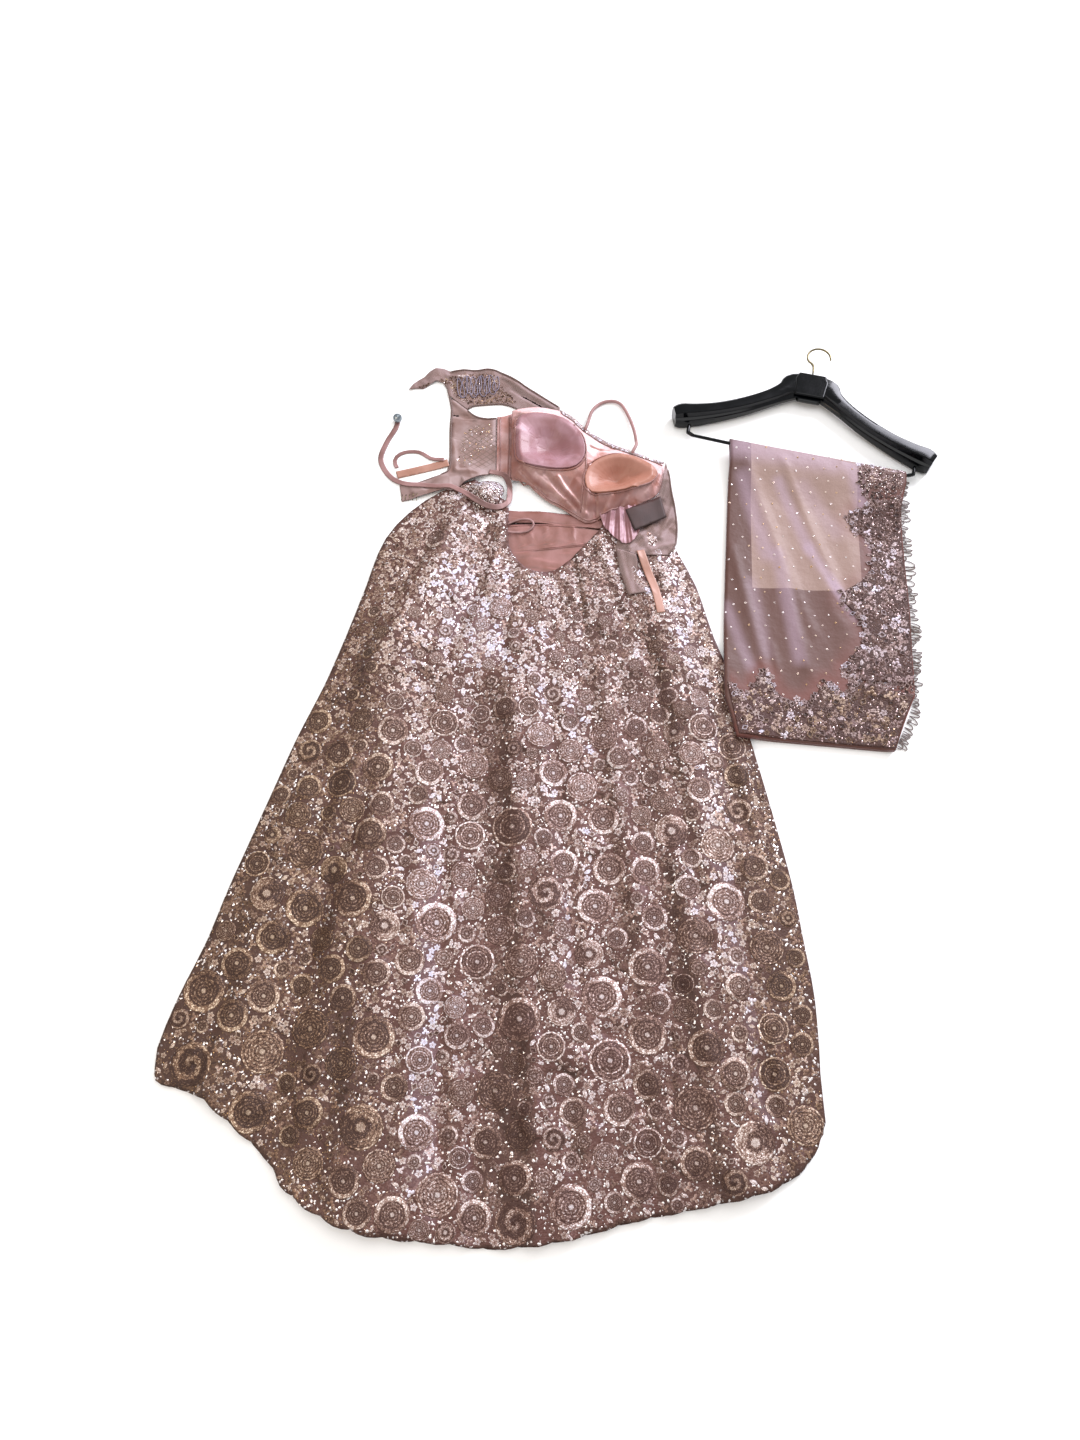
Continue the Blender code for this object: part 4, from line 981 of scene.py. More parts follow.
@dataclass
class Scatter:
    """Motifs sewn on cloth: Geometry Nodes set them on points and drape them on the surface.

    Attributes:
        name: The piece's name.
        motifs: The motifs' meshes, picked by number.
        surface: The cloth that they are sewn on.
        finish: Their material.
        slot: A material slot's name, which is not used.
        lift: How far their feet stand off the cloth.
    """

    name: str
    motifs: list[Mesh]
    surface: Object
    finish: Material
    slot: str
    lift: float = 0.0002
    places: list[Point] = field(default_factory=list)
    kinds: list[int] = field(default_factory=list)
    turns: list[tuple[float, float, float]] = field(default_factory=list)
    sizes: list[tuple[float, float, float]] = field(default_factory=list)
    warmths: list[float] = field(default_factory=list)
    lights: list[float] = field(default_factory=list)

    def add(self, x: float, y: float, kind: int, size: float, turn: tuple[float, float, float],
            warmth: float, height: float | None = None, lit: float = 0.62) -> None:
        """Sets one motif on the plan.

        Args:
            x: Across.
            y: Along.
            kind: Which motif.
            size: Its scale across.
            turn: Its turn about each axis.
            warmth: 0 for silver to 1 for gold.
            height: Its scale upwards, where it isn't the same as across.
            lit: How far the cloth there is turned to the light.
        """
        self.lights.append(lit)
        self.places.append((x, y))
        self.kinds.append(kind)
        self.sizes.append((size, size, size if height is None else height))
        self.turns.append(turn)
        self.warmths.append(clamp(warmth))

    def tree(self) -> bpy.types.NodeTree:
        """The node tree: instances on points, realized, then dropped on the surface.

        Returns:
            The geometry node tree.
        """
        tree = bpy.data.node_groups.new(self.name + "_nodes", "GeometryNodeTree")
        made = tree.interface.new_socket
        made("Geometry", in_out="OUTPUT", socket_type="NodeSocketGeometry")
        made("Geometry", in_out="INPUT", socket_type="NodeSocketGeometry")
        for name, kind in (("Surface", "Object"), ("Motifs", "Collection"), ("Finish", "Material"),
                           ("Lift", "Float")):
            made(name, in_out="INPUT", socket_type="NodeSocket" + kind)
        given = add_node(tree, "NodeGroupInput").outputs
        stored = {name: add_node(tree, "GeometryNodeInputNamedAttribute", {"Name": name},
                                 data_type=kind).outputs["Attribute"]
                  for name, kind in (("kind", "INT"), ("turn", "FLOAT_VECTOR"), ("size", "FLOAT_VECTOR"))}
        motifs = add_node(tree, "GeometryNodeCollectionInfo", {
            "Collection": given["Motifs"], "Separate Children": True, "Reset Children": True})
        sewn = add_node(tree, "GeometryNodeInstanceOnPoints", {
            "Points": given["Geometry"], "Instance": motifs.outputs[0], "Pick Instance": True,
            "Instance Index": stored["kind"], "Rotation": stored["turn"], "Scale": stored["size"]})
        whole = add_node(tree, "GeometryNodeRealizeInstances", {"Geometry": sewn.outputs[0]})
        place = add_node(tree, "GeometryNodeInputPosition").outputs[0]
        at = add_node(tree, "ShaderNodeSeparateXYZ", {0: place}).outputs
        above = add_node(tree, "ShaderNodeCombineXYZ", {0: at[0], 1: at[1], 2: ABOVE})
        cloth = add_node(tree, "GeometryNodeObjectInfo", {"Object": given["Surface"]})
        ray = add_node(tree, "GeometryNodeRaycast", {
            "Target Geometry": cloth.outputs["Geometry"], "Source Position": above.outputs[0],
            "Ray Direction": DOWN, "Ray Length": 1.0}).outputs
        off = math_node(tree, "ADD", at[2], given["Lift"])
        out = add_node(tree, "ShaderNodeVectorMath", {0: ray["Hit Normal"], "Scale": off}, operation="SCALE")
        landed = add_node(tree, "ShaderNodeVectorMath", {0: ray["Hit Position"], 1: out.outputs[0]},
                          operation="ADD")
        moved = add_node(tree, "GeometryNodeSetPosition", {
            "Geometry": whole.outputs[0], "Selection": ray["Is Hit"], "Position": landed.outputs[0]})
        dressed = add_node(tree, "GeometryNodeSetMaterial",
                           {"Geometry": moved.outputs[0], "Material": given["Finish"]})
        add_node(tree, "NodeGroupOutput", {0: dressed.outputs[0]})
        return tree

    def build(self) -> Object:
        """Runs the tree and keeps its result as a plain mesh.

        Returns:
            The piece.
        """
        cloud = bpy.data.meshes.new(self.name + "_points")
        cloud.from_pydata([(x, y, 0.0) for x, y in self.places], [], [])
        for name, kind, values in (("kind", "INT", self.kinds), ("warm", "FLOAT", self.warmths),
                                   ("lit", "FLOAT", self.lights)):
            cloud.attributes.new(name, kind, "POINT").data.foreach_set("value", values)
        for name, values in (("turn", self.turns), ("size", self.sizes)):
            layer = cloud.attributes.new(name, "FLOAT_VECTOR", "POINT")
            layer.data.foreach_set("vector", [c for v in values for c in v])
        group = bpy.data.collections.new(self.name + "_motifs")
        for i, mesh in enumerate(self.motifs):
            group.objects.link(bpy.data.objects.new(f"{self.name}_{i:02d}", mesh))
        host = bpy.data.objects.new(self.name + "_host", cloud)
        bpy.context.scene.collection.objects.link(host)
        modifier = host.modifiers.new("Sewing", "NODES")
        modifier.node_group = self.tree()
        values = {"Surface": self.surface, "Motifs": group, "Finish": self.finish, "Lift": self.lift}
        for item in modifier.node_group.interface.items_tree:
            if item.in_out == "INPUT" and item.name in values:
                modifier[item.identifier] = values[item.name]
        mesh = plain_mesh(host, self.name)
        bpy.data.objects.remove(host)
        for item in list(group.objects):
            bpy.data.objects.remove(item)
        bpy.data.collections.remove(group)
        for attribute in ("kind", "turn", "size"):
            if attribute in mesh.attributes:
                mesh.attributes.remove(mesh.attributes[attribute])
        LOG.info("%s %d/%d", self.name, len(self.places), len(mesh.polygons))
        return declare(object_of(self.name, mesh, self.finish), self.slot)


def rosette_meshes(rows: int, columns: int) -> list[Mesh]:
    """The five kinds of rosette, each 1 across its radius.

    Args:
        rows: Rings of each.
        columns: Points round each.

    Returns:
        Meshes in the order of Motif.
    """

    def stitches(angle: float) -> float:
        """1 and 0 in turn round the rosette, as radial stitches lie."""
        return float(round(angle * columns / (2 * math.pi)) % 2)

    def rows_of(radius: float) -> float:
        """1 and 0 in turn outwards, as rows of beads lie."""
        return float(round(radius * rows) % 2)

    def target(radius: float, angle: float) -> float:
        """Bright middle, fine rings, then a broad band that is brighter on one side."""
        if radius < 0.13:
            return 1.0
        if radius < 0.60:
            return 0.24 + 0.34 * rows_of(radius)
        if radius < 0.69:
            return 0.16
        return 0.64 + 0.20 * math.cos(angle) + 0.14 * stitches(angle) if radius < 0.96 else 0.50

    def dahlia(radius: float, angle: float) -> float:
        """Even rows of beads with serrated edges."""
        return 1.0 if radius < 0.13 else 0.30 + 0.36 * rows_of(radius) + 0.12 * stitches(angle)

    def crescent(radius: float, angle: float) -> float:
        """A broad bright band that runs two thirds of the way round."""
        if radius < 0.20:
            return 0.95
        if 0.46 < radius and 0.4 < angle < 4.6:
            return 0.62 + 0.20 * rows_of(radius)
        return 0.22 + 0.24 * rows_of(radius)

    def spiral(radius: float, angle: float) -> float:
        """A bright band that winds outwards."""
        return 0.74 if (angle / (2 * math.pi) + radius * 1.6) % 1 < 0.45 else 0.28 + 0.1 * stitches(angle)

    def ringed(radius: float, angle: float) -> float:
        """Two thin bright rims round a dotted field."""
        if radius > 0.86 or 0.52 < radius < 0.62:
            return 0.80
        return 0.95 if radius < 0.16 else 0.22 + 0.30 * rows_of(radius)

    def height(radius: float) -> float:
        """Ridged rows over a low dome that comes down at the rim."""
        ridge = 0.030 * (1 if round(radius * rows) % 2 else -0.3)
        return (0.055 + ridge) * ease((1 - radius) / 0.12)

    found = []
    for kind, tone in zip(Motif, (target, dahlia, crescent, spiral, ringed)):
        motif = MotifMesh()
        motif.rings(rows, columns, tone, height, 0.018)
        found.append(motif.mesh(f"rosette_{kind.name.lower()}_{rows}"))
    return found


def spray_meshes() -> list[Mesh]:
    """The small motifs, each about 1 long.

    Returns:
        Meshes in the order of Spray.
    """
    leaf = MotifMesh()
    leaf.leaf((-0.5, 0.0), 0.0, 1.0, 0.46, 0.95, 5)
    flower = MotifMesh()
    for i in range(5):
        flower.leaf((0.0, 0.0), 2 * math.pi * i / 5, 0.52, 0.34, 0.95, 3)
    flower.dome(0.0, 0.0, 0.13, 0.16, 0.8, 5)
    kite = MotifMesh()
    kite.outline(((-0.5, 0.0), (0.0, -0.36), (0.5, 0.0), (0.0, 0.36)), 0.34, 0.95, 0.30)
    cluster = MotifMesh()
    for x, y, radius in ((0.0, 0.0, 0.24), (0.36, 0.06, 0.20), (-0.2, 0.33, 0.21), (-0.26, -0.27, 0.22)):
        cluster.dome(x, y, radius, radius * 0.6, 0.95, 6)
    named = zip(Spray, (leaf, flower, kite, cluster))
    return [motif.mesh("spray_" + kind.name.lower()) for kind, motif in named]


def sequin_meshes() -> list[Mesh]:
    """A cupped sequin and a seed bead, each 1 across its radius.

    Returns:
        The two meshes.
    """
    sequin = MotifMesh()
    sequin.dome(0.0, 0.0, 1.0, 0.30, 1.0, 6)
    bead = MotifMesh()
    bead.dome(0.0, 0.0, 0.8, 0.9, 1.0, 4)
    return [sequin.mesh("sequin"), bead.mesh("seed_bead")]


class Crowd:
    """Remembers circles on the plan, so that new ones keep clear of them."""

    def __init__(self, cell: float) -> None:
        """Starts empty.

        Args:
            cell: The size of the squares that circles are filed in.
        """
        self.cell = cell
        self.filed: dict[tuple[int, int], list[tuple[float, float, float]]] = {}
        self.largest = 0.0

    def free(self, x: float, y: float, radius: float) -> bool:
        """Whether a circle is clear of every one that is filed.

        Args:
            x: Across.
            y: Along.
            radius: The circle's radius.

        Returns:
            True if nothing is in its way.
        """
        reach = math.ceil((radius + self.largest) / self.cell)
        i, j = int(x // self.cell), int(y // self.cell)
        for a in range(i - reach, i + reach + 1):
            for b in range(j - reach, j + reach + 1):
                for px, py, other in self.filed.get((a, b), ()):
                    if (px - x) ** 2 + (py - y) ** 2 < (radius + other) ** 2:
                        return False
        return True

    def file(self, x: float, y: float, radius: float) -> None:
        """Remembers a circle."""
        self.largest = max(self.largest, radius)
        key = (int(x // self.cell), int(y // self.cell))
        self.filed.setdefault(key, []).append((x, y, radius))


@dataclass
class Skirt:
    """The skirt: back, front, waist and the embroidery that covers the front."""

    seed: int = 7
    # (least radius, greatest radius, how far down they start, how many)
    rosette_sizes: tuple[tuple[float, float, float, int], ...] = (
        (0.0225, 0.0285, 0.46, 40), (0.0170, 0.0225, 0.34, 74), (0.0120, 0.0165, 0.30, 84),
        (0.0085, 0.0120, 0.16, 70))
    sprays: int = 3600
    sequins: int = 20000
    contrast: float = 1.25
    hem: float = -0.66
    waist: float = 0.36

    def build(self, stuff: dict[str, Material]) -> None:
        """Makes the skirt's pieces.

        Args:
            stuff: The materials by name.
        """
        net, satin, ribbon = stuff["ground"], stuff["lining"], stuff["ribbon"]
        threads, sequin = stuff["threads"], stuff["sequin"]
        LaidCloth("skirt_back_panel", "skirt_back", "embroidered_net", (0.864, 1.115), 0.70, 1, 0,
                  rests_on=("floor",)).build(net)
        lining = LaidCloth(
            "skirt_lining_panel", "skirt_lining", "satin", (0.20, 0.145), 0.0205, 3, 60,
            metres(((-105, 340, -85, 255, 1.1, 6), (-85, 340, -70, 245, 1, 5), (-60, 340, -55, 240, 1.2, 6),
                    (-40, 340, -38, 250, 1, 5), (-15, 340, -22, 270, 1.2, 6), (8, 340, -4, 290, 1, 5))),
            rests_on=("skirt_back_panel",), steepness=1.6).build(satin)
        casing = LaidCloth("skirt_casing", "skirt_waist_casing", "satin", (0.195, 0.021), None, 2, 20,
                           rests_on=("skirt_lining_panel",), raised=0.0010, steepness=0.3).build(satin)
        stitches = smooth_line(metres(((-120, 342), (-88.4, 344.5), (-55.9, 344), (-25.9, 342), (10, 339.5),
                                       (36, 340))))
        Cords("casing_stitches", "satin", 0.0005, [(stitches, False)], (lining, casing)).build(satin)
        LaidCloth("skirt_loop", "skirt_hanging_loop", "ribbon", (0.0102, 0.0425), None, 1, 1,
                  rests_on=("skirt_lining_panel",), raised=0.0022).build(ribbon)
        front = LaidCloth("skirt_front_panel", "skirt_front", "embroidered_net", (0.90, 1.13), 0.735, 2, 4,
                          SKIRT_CREASES, rests_on=("skirt_back_panel",), steepness=1.25, glows=SKIRT_GLOWS
                          ).build(net)
        turned = LaidCloth("skirt_corner", "skirt_waist_corner", "beadwork", (0.062, 0.060), None, 2, 3,
                           rests_on=("skirt_front_panel",)).build(net)
        self.embroider(front, threads, sequin)
        cover(turned, "corner_beads", threads, sequin, random.Random(5), 120, (0.006, 0.009), 500)

    def embroider(self, front: Object, threads: Material, sequin: Material) -> None:
        """Sews rosettes, sprays and sequins over the front.

        Args:
            front: The front panel.
            threads: The motifs' material.
            sequin: The sequins' material.
        """
        chance = random.Random(self.seed)
        surface = surface_of(front)
        low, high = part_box("skirt_front")
        crowd = Crowd(0.012)

        def spot() -> Point:
            """Any point of the front's box."""
            return chance.uniform(low.x, high.x), chance.uniform(low.y, high.y)

        def lies(x: float, y: float, reach: float) -> bool:
            """Whether the cloth is under a circle's rim and middle."""
            spots = [(x, y)] + [(x + reach * math.cos(a), y + reach * math.sin(a))
                                for a in (0.0, 1.05, 2.1, 3.14, 4.2, 5.24)]
            return all(cloth_at(surface, *spot)[0] for spot in spots)

        def lit(x: float, y: float, reach: float = 0.012) -> float:
            """How far the cloth about a point is turned to the light."""
            total = Vector((0, 0, 0))
            for dx, dy in ((reach, 0), (-reach, 0), (0, reach), (0, -reach), (0, 0)):
                total += cloth_at(surface, x + dx, y + dy)[1] or -DOWN
            return clamp(facing(total.normalized(), self.contrast) + sum_of_bands(SKIRT_GLOWS, x, y))

        def down(y: float) -> float:
            """0 at the waist to 1 at the hem."""
            return clamp((self.waist - y) / (self.waist - self.hem))

        def warmth(x: float, shade: float) -> float:
            """Painted warm shade: gold at the sides, where the skirt falls away from the light, and where the
            cloth turns away, silver in the middle, with some random gold.
            """
            side = 0.08 + 0.80 * ease((abs(x + 0.04) - 0.10) / 0.26)
            return side + 0.5 * (FLAT_LIGHT - shade) + chance.uniform(-0.12, 0.2)

        rosettes = Scatter("skirt_rosettes", rosette_meshes(12, 32) + rosette_meshes(7, 20), front, threads,
                           "beadwork")
        kinds = ([Motif.TARGET] * 12 + [Motif.DAHLIA] * 7 + [Motif.CRESCENT] + [Motif.SPIRAL] +
                 [Motif.RINGED] * 3)

        def sew(x: float, y: float, radius: float, apart: float, first: int, height: float,
                reach: float) -> None:
            """Sews one rosette, with painted light from how far the cloth there is turned to the light and a
            little less towards the hem, and keeps others off it.
            """
            shade = lit(x, y, reach)
            crowd.file(x, y, apart)
            rosettes.add(x, y, first + chance.choice(kinds).value, radius, spun(chance), warmth(x, shade),
                         height, 0.24 + 0.66 * shade - 0.08 * down(y))

        for x, y, radius in applique_places("skirt_front"):
            sew(x, y, radius * 1.06, radius * 1.02, 0, 0.020, radius * 1.1)
        # Large ones first: they lie towards the hem, and smaller ones fill in between them
        for least, most, highest, count in self.rosette_sizes:
            sewn = 0
            for _ in range(ROSETTE_TRIES):
                if sewn >= count:
                    break
                x, y = spot()
                radius = chance.uniform(least, most)
                apart = radius * 1.06
                if down(y) < highest or not crowd.free(x, y, apart) or not lies(x, y, radius * 0.98):
                    continue
                sewn += 1
                sew(x, y, radius, apart, 0 if radius > 0.013 else FINE_ROSETTES, 0.018, 0.012)
        rosettes.build()

        sprays = Scatter("skirt_sprays", spray_meshes(), front, threads, "beadwork")
        choices = [Spray.LEAF] * 5 + [Spray.FLOWER] * 6 + [Spray.KITE] + [Spray.CLUSTER] * 3
        for _ in range(SPRAY_TRIES):
            if len(sprays.places) >= self.sprays:
                break
            x, y = spot()
            if chance.random() > 1.0 - 0.86 * down(y) ** 0.7:
                continue
            size = chance.uniform(0.0080, 0.0120) + 0.005 * chance.random() * (1 - down(y)) ** 2
            if crowd.free(x, y, size * 0.32) and lies(x, y, size * 0.5):
                # Painted light of the spray: how far the cloth is turned to the light, with a random share and a
                # little less towards the hem
                shade = lit(x, y) + chance.uniform(-0.36, 0.20) - 0.10 * down(y)
                crowd.file(x, y, size * 0.32)
                sprays.add(x, y, chance.choice(choices).value, size, spun(chance), warmth(x, shade) * 0.8,
                           None, shade)
        sprays.build()

        glitter = Scatter("skirt_sequins", sequin_meshes(), front, sequin, "beadwork", 0.0003)
        for _ in range(self.sequins):
            x, y = spot()
            if lies(x, y, 0.002):
                # Sequins are kept more where the cloth is turned to the light, as painted glints on the lit
                # folds
                shade = lit(x, y)
                if chance.random() > 0.20 + 0.70 * shade:
                    continue
                size, tilt = chance.uniform(0.0005, 0.0009), spun(chance, 0.28)
                glitter.add(x, y, 1 if chance.random() < 0.5 else 0, size, tilt, warmth(x, shade) + 0.2, None,
                            shade)
        glitter.build()


def cover(cloth: Object, name: str, threads: Material, sequin: Material,
          chance: random.Random, motifs: int, sizes: Point, sequins: int,
          within: Sequence[Point] | None = None, gold: float = 0.3, dim: float = 0.0) -> None:
    """Sews small motifs and sequins densely over a piece, or over an oval part of it.

    Args:
        cloth: The piece.
        name: The new pieces' name.
        threads: The motifs' material.
        sequin: The sequins' material.
        chance: The source of chance.
        motifs: The most motifs.
        sizes: The motifs' least and greatest length.
        sequins: How many sequins are tried.
        within: A plan outline that they stay in.
        gold: How warm the brightest are.
        dim: How much less light the motifs catch.
    """
    surface = surface_of(cloth)
    crowd = Crowd(0.008)
    shapes = [Spray.FLOWER] * 3 + [Spray.KITE] * 3 + [Spray.CLUSTER] * 4 + [Spray.LEAF] * 2
    area = [v.co.to_2d() for v in cloth.data.vertices] if within is None else [Vector(p) for p in within]
    low = [min(p[axis] for p in area) for axis in (0, 1)]
    high = [max(p[axis] for p in area) for axis in (0, 1)]

    def spot(reach: float) -> tuple[float, float, Vector] | None:
        """A point with cloth round it, and the cloth's direction there."""
        x, y = (chance.uniform(low[axis], high[axis]) for axis in (0, 1))
        if within is not None and not encloses(within, x, y):
            return None
        for a in (0.0, 2.1, 4.2):
            if not cloth_at(surface, x + reach * math.cos(a), y + reach * math.sin(a))[0]:
                return None
        at, normal = cloth_at(surface, x, y)
        return (x, y, normal) if at else None

    worked = Scatter(name, spray_meshes(), cloth, threads, "beadwork")
    for _ in range(motifs * COVER_TRIES):
        size = chance.uniform(*sizes)
        found = spot(size * 0.42) if len(worked.places) < motifs else None
        if found and crowd.free(found[0], found[1], size * 0.33):
            crowd.file(found[0], found[1], size * 0.33)
            # The motif's painted light: how far the cloth there is turned to the light, with a random share,
            # less by dim
            lit = facing(found[2], 1.3) + chance.uniform(-0.32, 0.30) - dim
            worked.add(found[0], found[1], chance.choice(shapes).value, size, spun(chance),
                       chance.uniform(0, gold), None, clamp(lit))
    worked.build()
    loose = Scatter(name + "_sequins", sequin_meshes(), cloth, sequin, "beadwork", 0.0003)
    for _ in range(sequins):
        found = spot(0.0015)
        if found:
            tilt = spun(chance, 0.3)
            loose.add(found[0], found[1], chance.randrange(2), chance.uniform(0.0007, 0.0012), tilt,
                      chance.uniform(0, gold * 1.5), None, chance.uniform(0.3, 1.0))
    loose.build()


def encloses(outline: Sequence[Point], x: float, y: float) -> bool:
    """Whether a point of the plan is inside a closed outline."""
    within = False
    for (ax, ay), (bx, by) in zip(outline, list(outline[1:]) + [outline[0]]):
        if (ay > y) != (by > y) and x < ax + (y - ay) * (bx - ax) / (by - ay):
            within = not within
    return within


def applique_places(node: str) -> list[tuple[float, float, float]]:
    """Finds the raised rosettes of the solid: a point with eight even neighbours round it.

    Args:
        node: The front panel's CAD node.

    Returns:
        (x, y, radius) of each rosette.
    """
    form = form_of(node)
    found = []
    for vert in form.verts:
        spokes = [(e.other_vert(vert).co - vert.co).to_2d().length for e in vert.link_edges]
        if vert.normal.z > 0.5 and len(spokes) == 8 and min(spokes) > 0.012:
            if max(spokes) - min(spokes) < 0.0018:
                found.append((vert.co.x, vert.co.y, sum(spokes) / 6.4))
    form.free()
    LOG.info("%d raised rosettes", len(found))
    return found


# Rosettes with fewer rings stand after the five fine ones
FINE_ROSETTES = 5
# Folds of the front, besides the large ones that its solid has
SKIRT_CREASES: tuple[Crease, ...] = metres((
    (-150, 350, -210, 200, -4, 12), (-128, 345, -150, 230, 3.4, 10), (-190, 360, -270, 230, 3.6, 14),
    (-225, 340, -300, 200, -3.2, 14), (-110, 270, -125, 120, -3.8, 12), (-60, 240, -70, 110, 3, 12),
    (-20, 290, 0, 150, -3.6, 11), (20, 320, 70, 170, 3.4, 12), (60, 350, 110, 220, -3.8, 12),
    (100, 330, 150, 180, 3.2, 14), (-215, 290, -330, 80, 4, 16), (-165, 240, -240, 20, -4.5, 18),
    (-240, 80, -330, -170, -5, 22), (-330, -60, -420, -300, 5, 22), (-300, 0, -375, -330, -4.5, 20),
    (-235, -80, -240, -560, 5.5, 24), (-205, -150, -195, -640, -5, 22), (-110, 60, -90, -420, 4.5, 24),
    (-60, 100, -20, -360, -4.5, 22), (20, 100, 75, -380, 4.5, 24), (90, 140, 150, -260, -4.5, 20),
    (130, 160, 190, -60, 3.5, 16), (170, 50, 215, -150, -4.5, 18), (205, 0, 245, -200, 3.5, 14),
    (120, -200, 165, -600, 5, 24), (195, -180, 225, -520, -5, 20), (-80, -440, -75, -680, 5, 20),
    (-35, -480, -20, -670, -4.5, 20), (60, -500, 80, -650, -4.5, 22), (-330, -440, -345, -620, -4.5, 24),
    (-400, -360, -440, -520, 4, 22), (-480, -360, -515, -500, -4, 18), (-150, -560, -150, -680, -4, 16),
    (235, -420, 255, -590, 4, 18),
))
# Where the worked cloth catches the light most: added to how far it is turned to it
SKIRT_GLOWS: tuple[Crease, ...] = metres((
    (-185, 230, -150, 120, 0.46, 80), (-100, 120, -30, 40, 0.1, 70), (-210, -140, -215, -560, 0.2, 50),
    (60, 200, 120, 100, 0.05, 50), (-10, -20, 30, -240, 0.14, 90), (150, -80, 185, -330, 0.14, 50),
    (-235, -585, -215, -620, 0.22, 50), (40, -380, 50, -480, 0.12, 60), (-470, -330, -330, 20, -0.07, 90),
    (-330, -420, -270, -560, -0.26, 70), (225, 40, 265, -420, -0.2, 55), (-120, -470, -120, -640, -0.12, 50),
), STRENGTH)


class Blouse:
    """The blouse lying inside up, with its ties."""

    def build(self, stuff: dict[str, Material]) -> None:
        """Makes the blouse's pieces.

        Args:
            stuff: The materials by name.
        """
        satin, lilac, tan, net = stuff["satin"], stuff["lilac"], stuff["tan"], stuff["net"]
        ribbon, peach, threads, sequin = stuff["ribbon"], stuff["peach"], stuff["threads"], stuff["sequin"]
        on = ("skirt_front_panel", "floor")
        front = LaidCloth("blouse_front_lining", "blouse_front", "satin", (0.25, 0.225), 0.0345, 3, 5,
                          FRONT_CREASES, rests_on=on, steepness=1.7, glows=FRONT_GLOWS).build(satin)
        cups = [LaidCloth(f"blouse_cup_{side}_pad", f"blouse_cup_{side}", "pink_satin", None, None, 3, 4,
                          CUP_CREASES, padding=fill, steepness=0.25, glows=CUP_GLOWS).build(finish)
                for side, fill, finish in (("left", 0.35, lilac), ("right", 0.30, tan))]
        neck = LaidCloth("blouse_neck_beading", "blouse_neck_trim", "beadwork", (0.0102, 0.20), None, 2, 1,
                         rests_on=("blouse_front_lining",)).build(net)
        wing = LaidCloth("blouse_wing_left_net", "blouse_wing_left", "blouse_net", (0.145, 0.205), 0.0135,
                         3, 3, WING_CREASES, rests_on=on, steepness=1.6).build(stuff["lattice"])
        boning = LaidCloth("blouse_boning", "blouse_boning_channel", "satin", (0.025, 0.127), None, 2, 1,
                           metres(((-137, 490, -117, 486, 0.6, 3),)), rests_on=on,
                           glows=metres(((-128, 440, -128, 560, -0.28, 20),), STRENGTH)).build(satin)
        shoulder = LaidCloth("blouse_shoulder", "blouse_shoulder_band", "blouse_net", (0.26, 0.092), 0.0115,
                             3, 2, SHOULDER_CREASES, rests_on=("floor",), steepness=1.6).build(net)
        right = LaidCloth("blouse_wing_right_net", "blouse_wing_right", "blouse_net", (0.10, 0.17), 0.0093,
                          3, 3, RIGHT_CREASES, rests_on=on, steepness=1.6).build(net)
        tab = LaidCloth("blouse_tab", "blouse_tab_right", "blouse_net", (0.048, 0.085), 0.0019, 2, 2,
                        metres(((55, 290, 70, 215, 1.6, 6), (75, 280, 78, 225, -1.4, 5))),
                        rests_on=on, steepness=1.6).build(net)
        gathers = LaidCloth("blouse_gathered_lining", "blouse_gathers", "pink_satin", (0.065, 0.072), 0.0029, 3,
                            70, gathered_folds("blouse_gathers"), rests_on=("blouse_wing_right_net",),
                            steepness=1.3).build(lilac)
        LaidCloth("blouse_bare_label", "blouse_label", "label", (0.064, 0.041), None, 2, 2,
                  rests_on=("blouse_wing_right_net",)).build(stuff["label"])
        for name, node, slot, finish, flat in (
                ("tie_wide", "ribbon_left_wide", "peach_ribbon", peach, (0.014, 0.087)),
                ("tie_loop", "ribbon_left_loop", "ribbon", ribbon, (0.010, 0.105)),
                ("tie_long", "ribbon_left_long", "ribbon", ribbon, (0.010, 0.39)),
                ("tie_right", "ribbon_right", "peach_ribbon", peach, (0.0125, 0.116))):
            LaidCloth(name, node, slot, flat, None, 2, 1, rests_on=on, steepness=1.5).build(finish)
        strap = Solid("blouse_thin_strap", "blouse_strap", "ribbon", 1).build(ribbon)
        # The strap gets an even painted light, which its material reads
        paint(strap.data, "lit", [0.8] * len(strap.data.vertices))
        bead = Solid("tie_crystal", "crystal_tip", "crystal", 0, False).build(stuff["crystal"])
        low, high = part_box("crystal_tip")
        middle = (low + high) / 2
        for vert in bead.data.vertices:
            vert.co = middle + (vert.co - middle) * CRYSTAL_FULLNESS
            vert.co.z += CRYSTAL_LIFT
        over = (front, *cups, boning, gathers)
        Cords("blouse_piping", "satin", 0.0013, [(smooth_line(line, True), True) for line in CUP_EDGES] + [
            (smooth_line(line), False) for line in BLOUSE_SEAMS], over, 0.35).build(satin)
        Cords("blouse_net_binding", "blouse_net", 0.0012, [(smooth_line(line), False) for line in NET_EDGES],
              (wing, shoulder, right, tab), 0.35).build(net)
        Cords("thread_loops", "blouse_net", 0.0006, [(loop_line(*loop), True) for loop in THREAD_LOOPS],
              (shoulder,), -0.6).build(stuff["white"])
        hooks = [(((-0.2905 + 0.006 * i, 0.3935), (-0.2890 + 0.006 * i, 0.4040)), False) for i in range(5)]
        Cords("hooks", "chrome", 0.0009, hooks, (wing,), 0.2).build(stuff["wire"])
        chance = random.Random(31)
        cover(neck, "neck_beads", threads, sequin, chance, 120, (0.005, 0.008), 500)
        cover(shoulder, "shoulder_beads", threads, sequin, chance, 240, (0.005, 0.009), 170,
              BEADED_SHOULDER, 1.2, 0.42)
        cover(wing, "lattice_beads", threads, sequin, chance, 24, (0.003, 0.005), 110, LATTICE, 0.9)


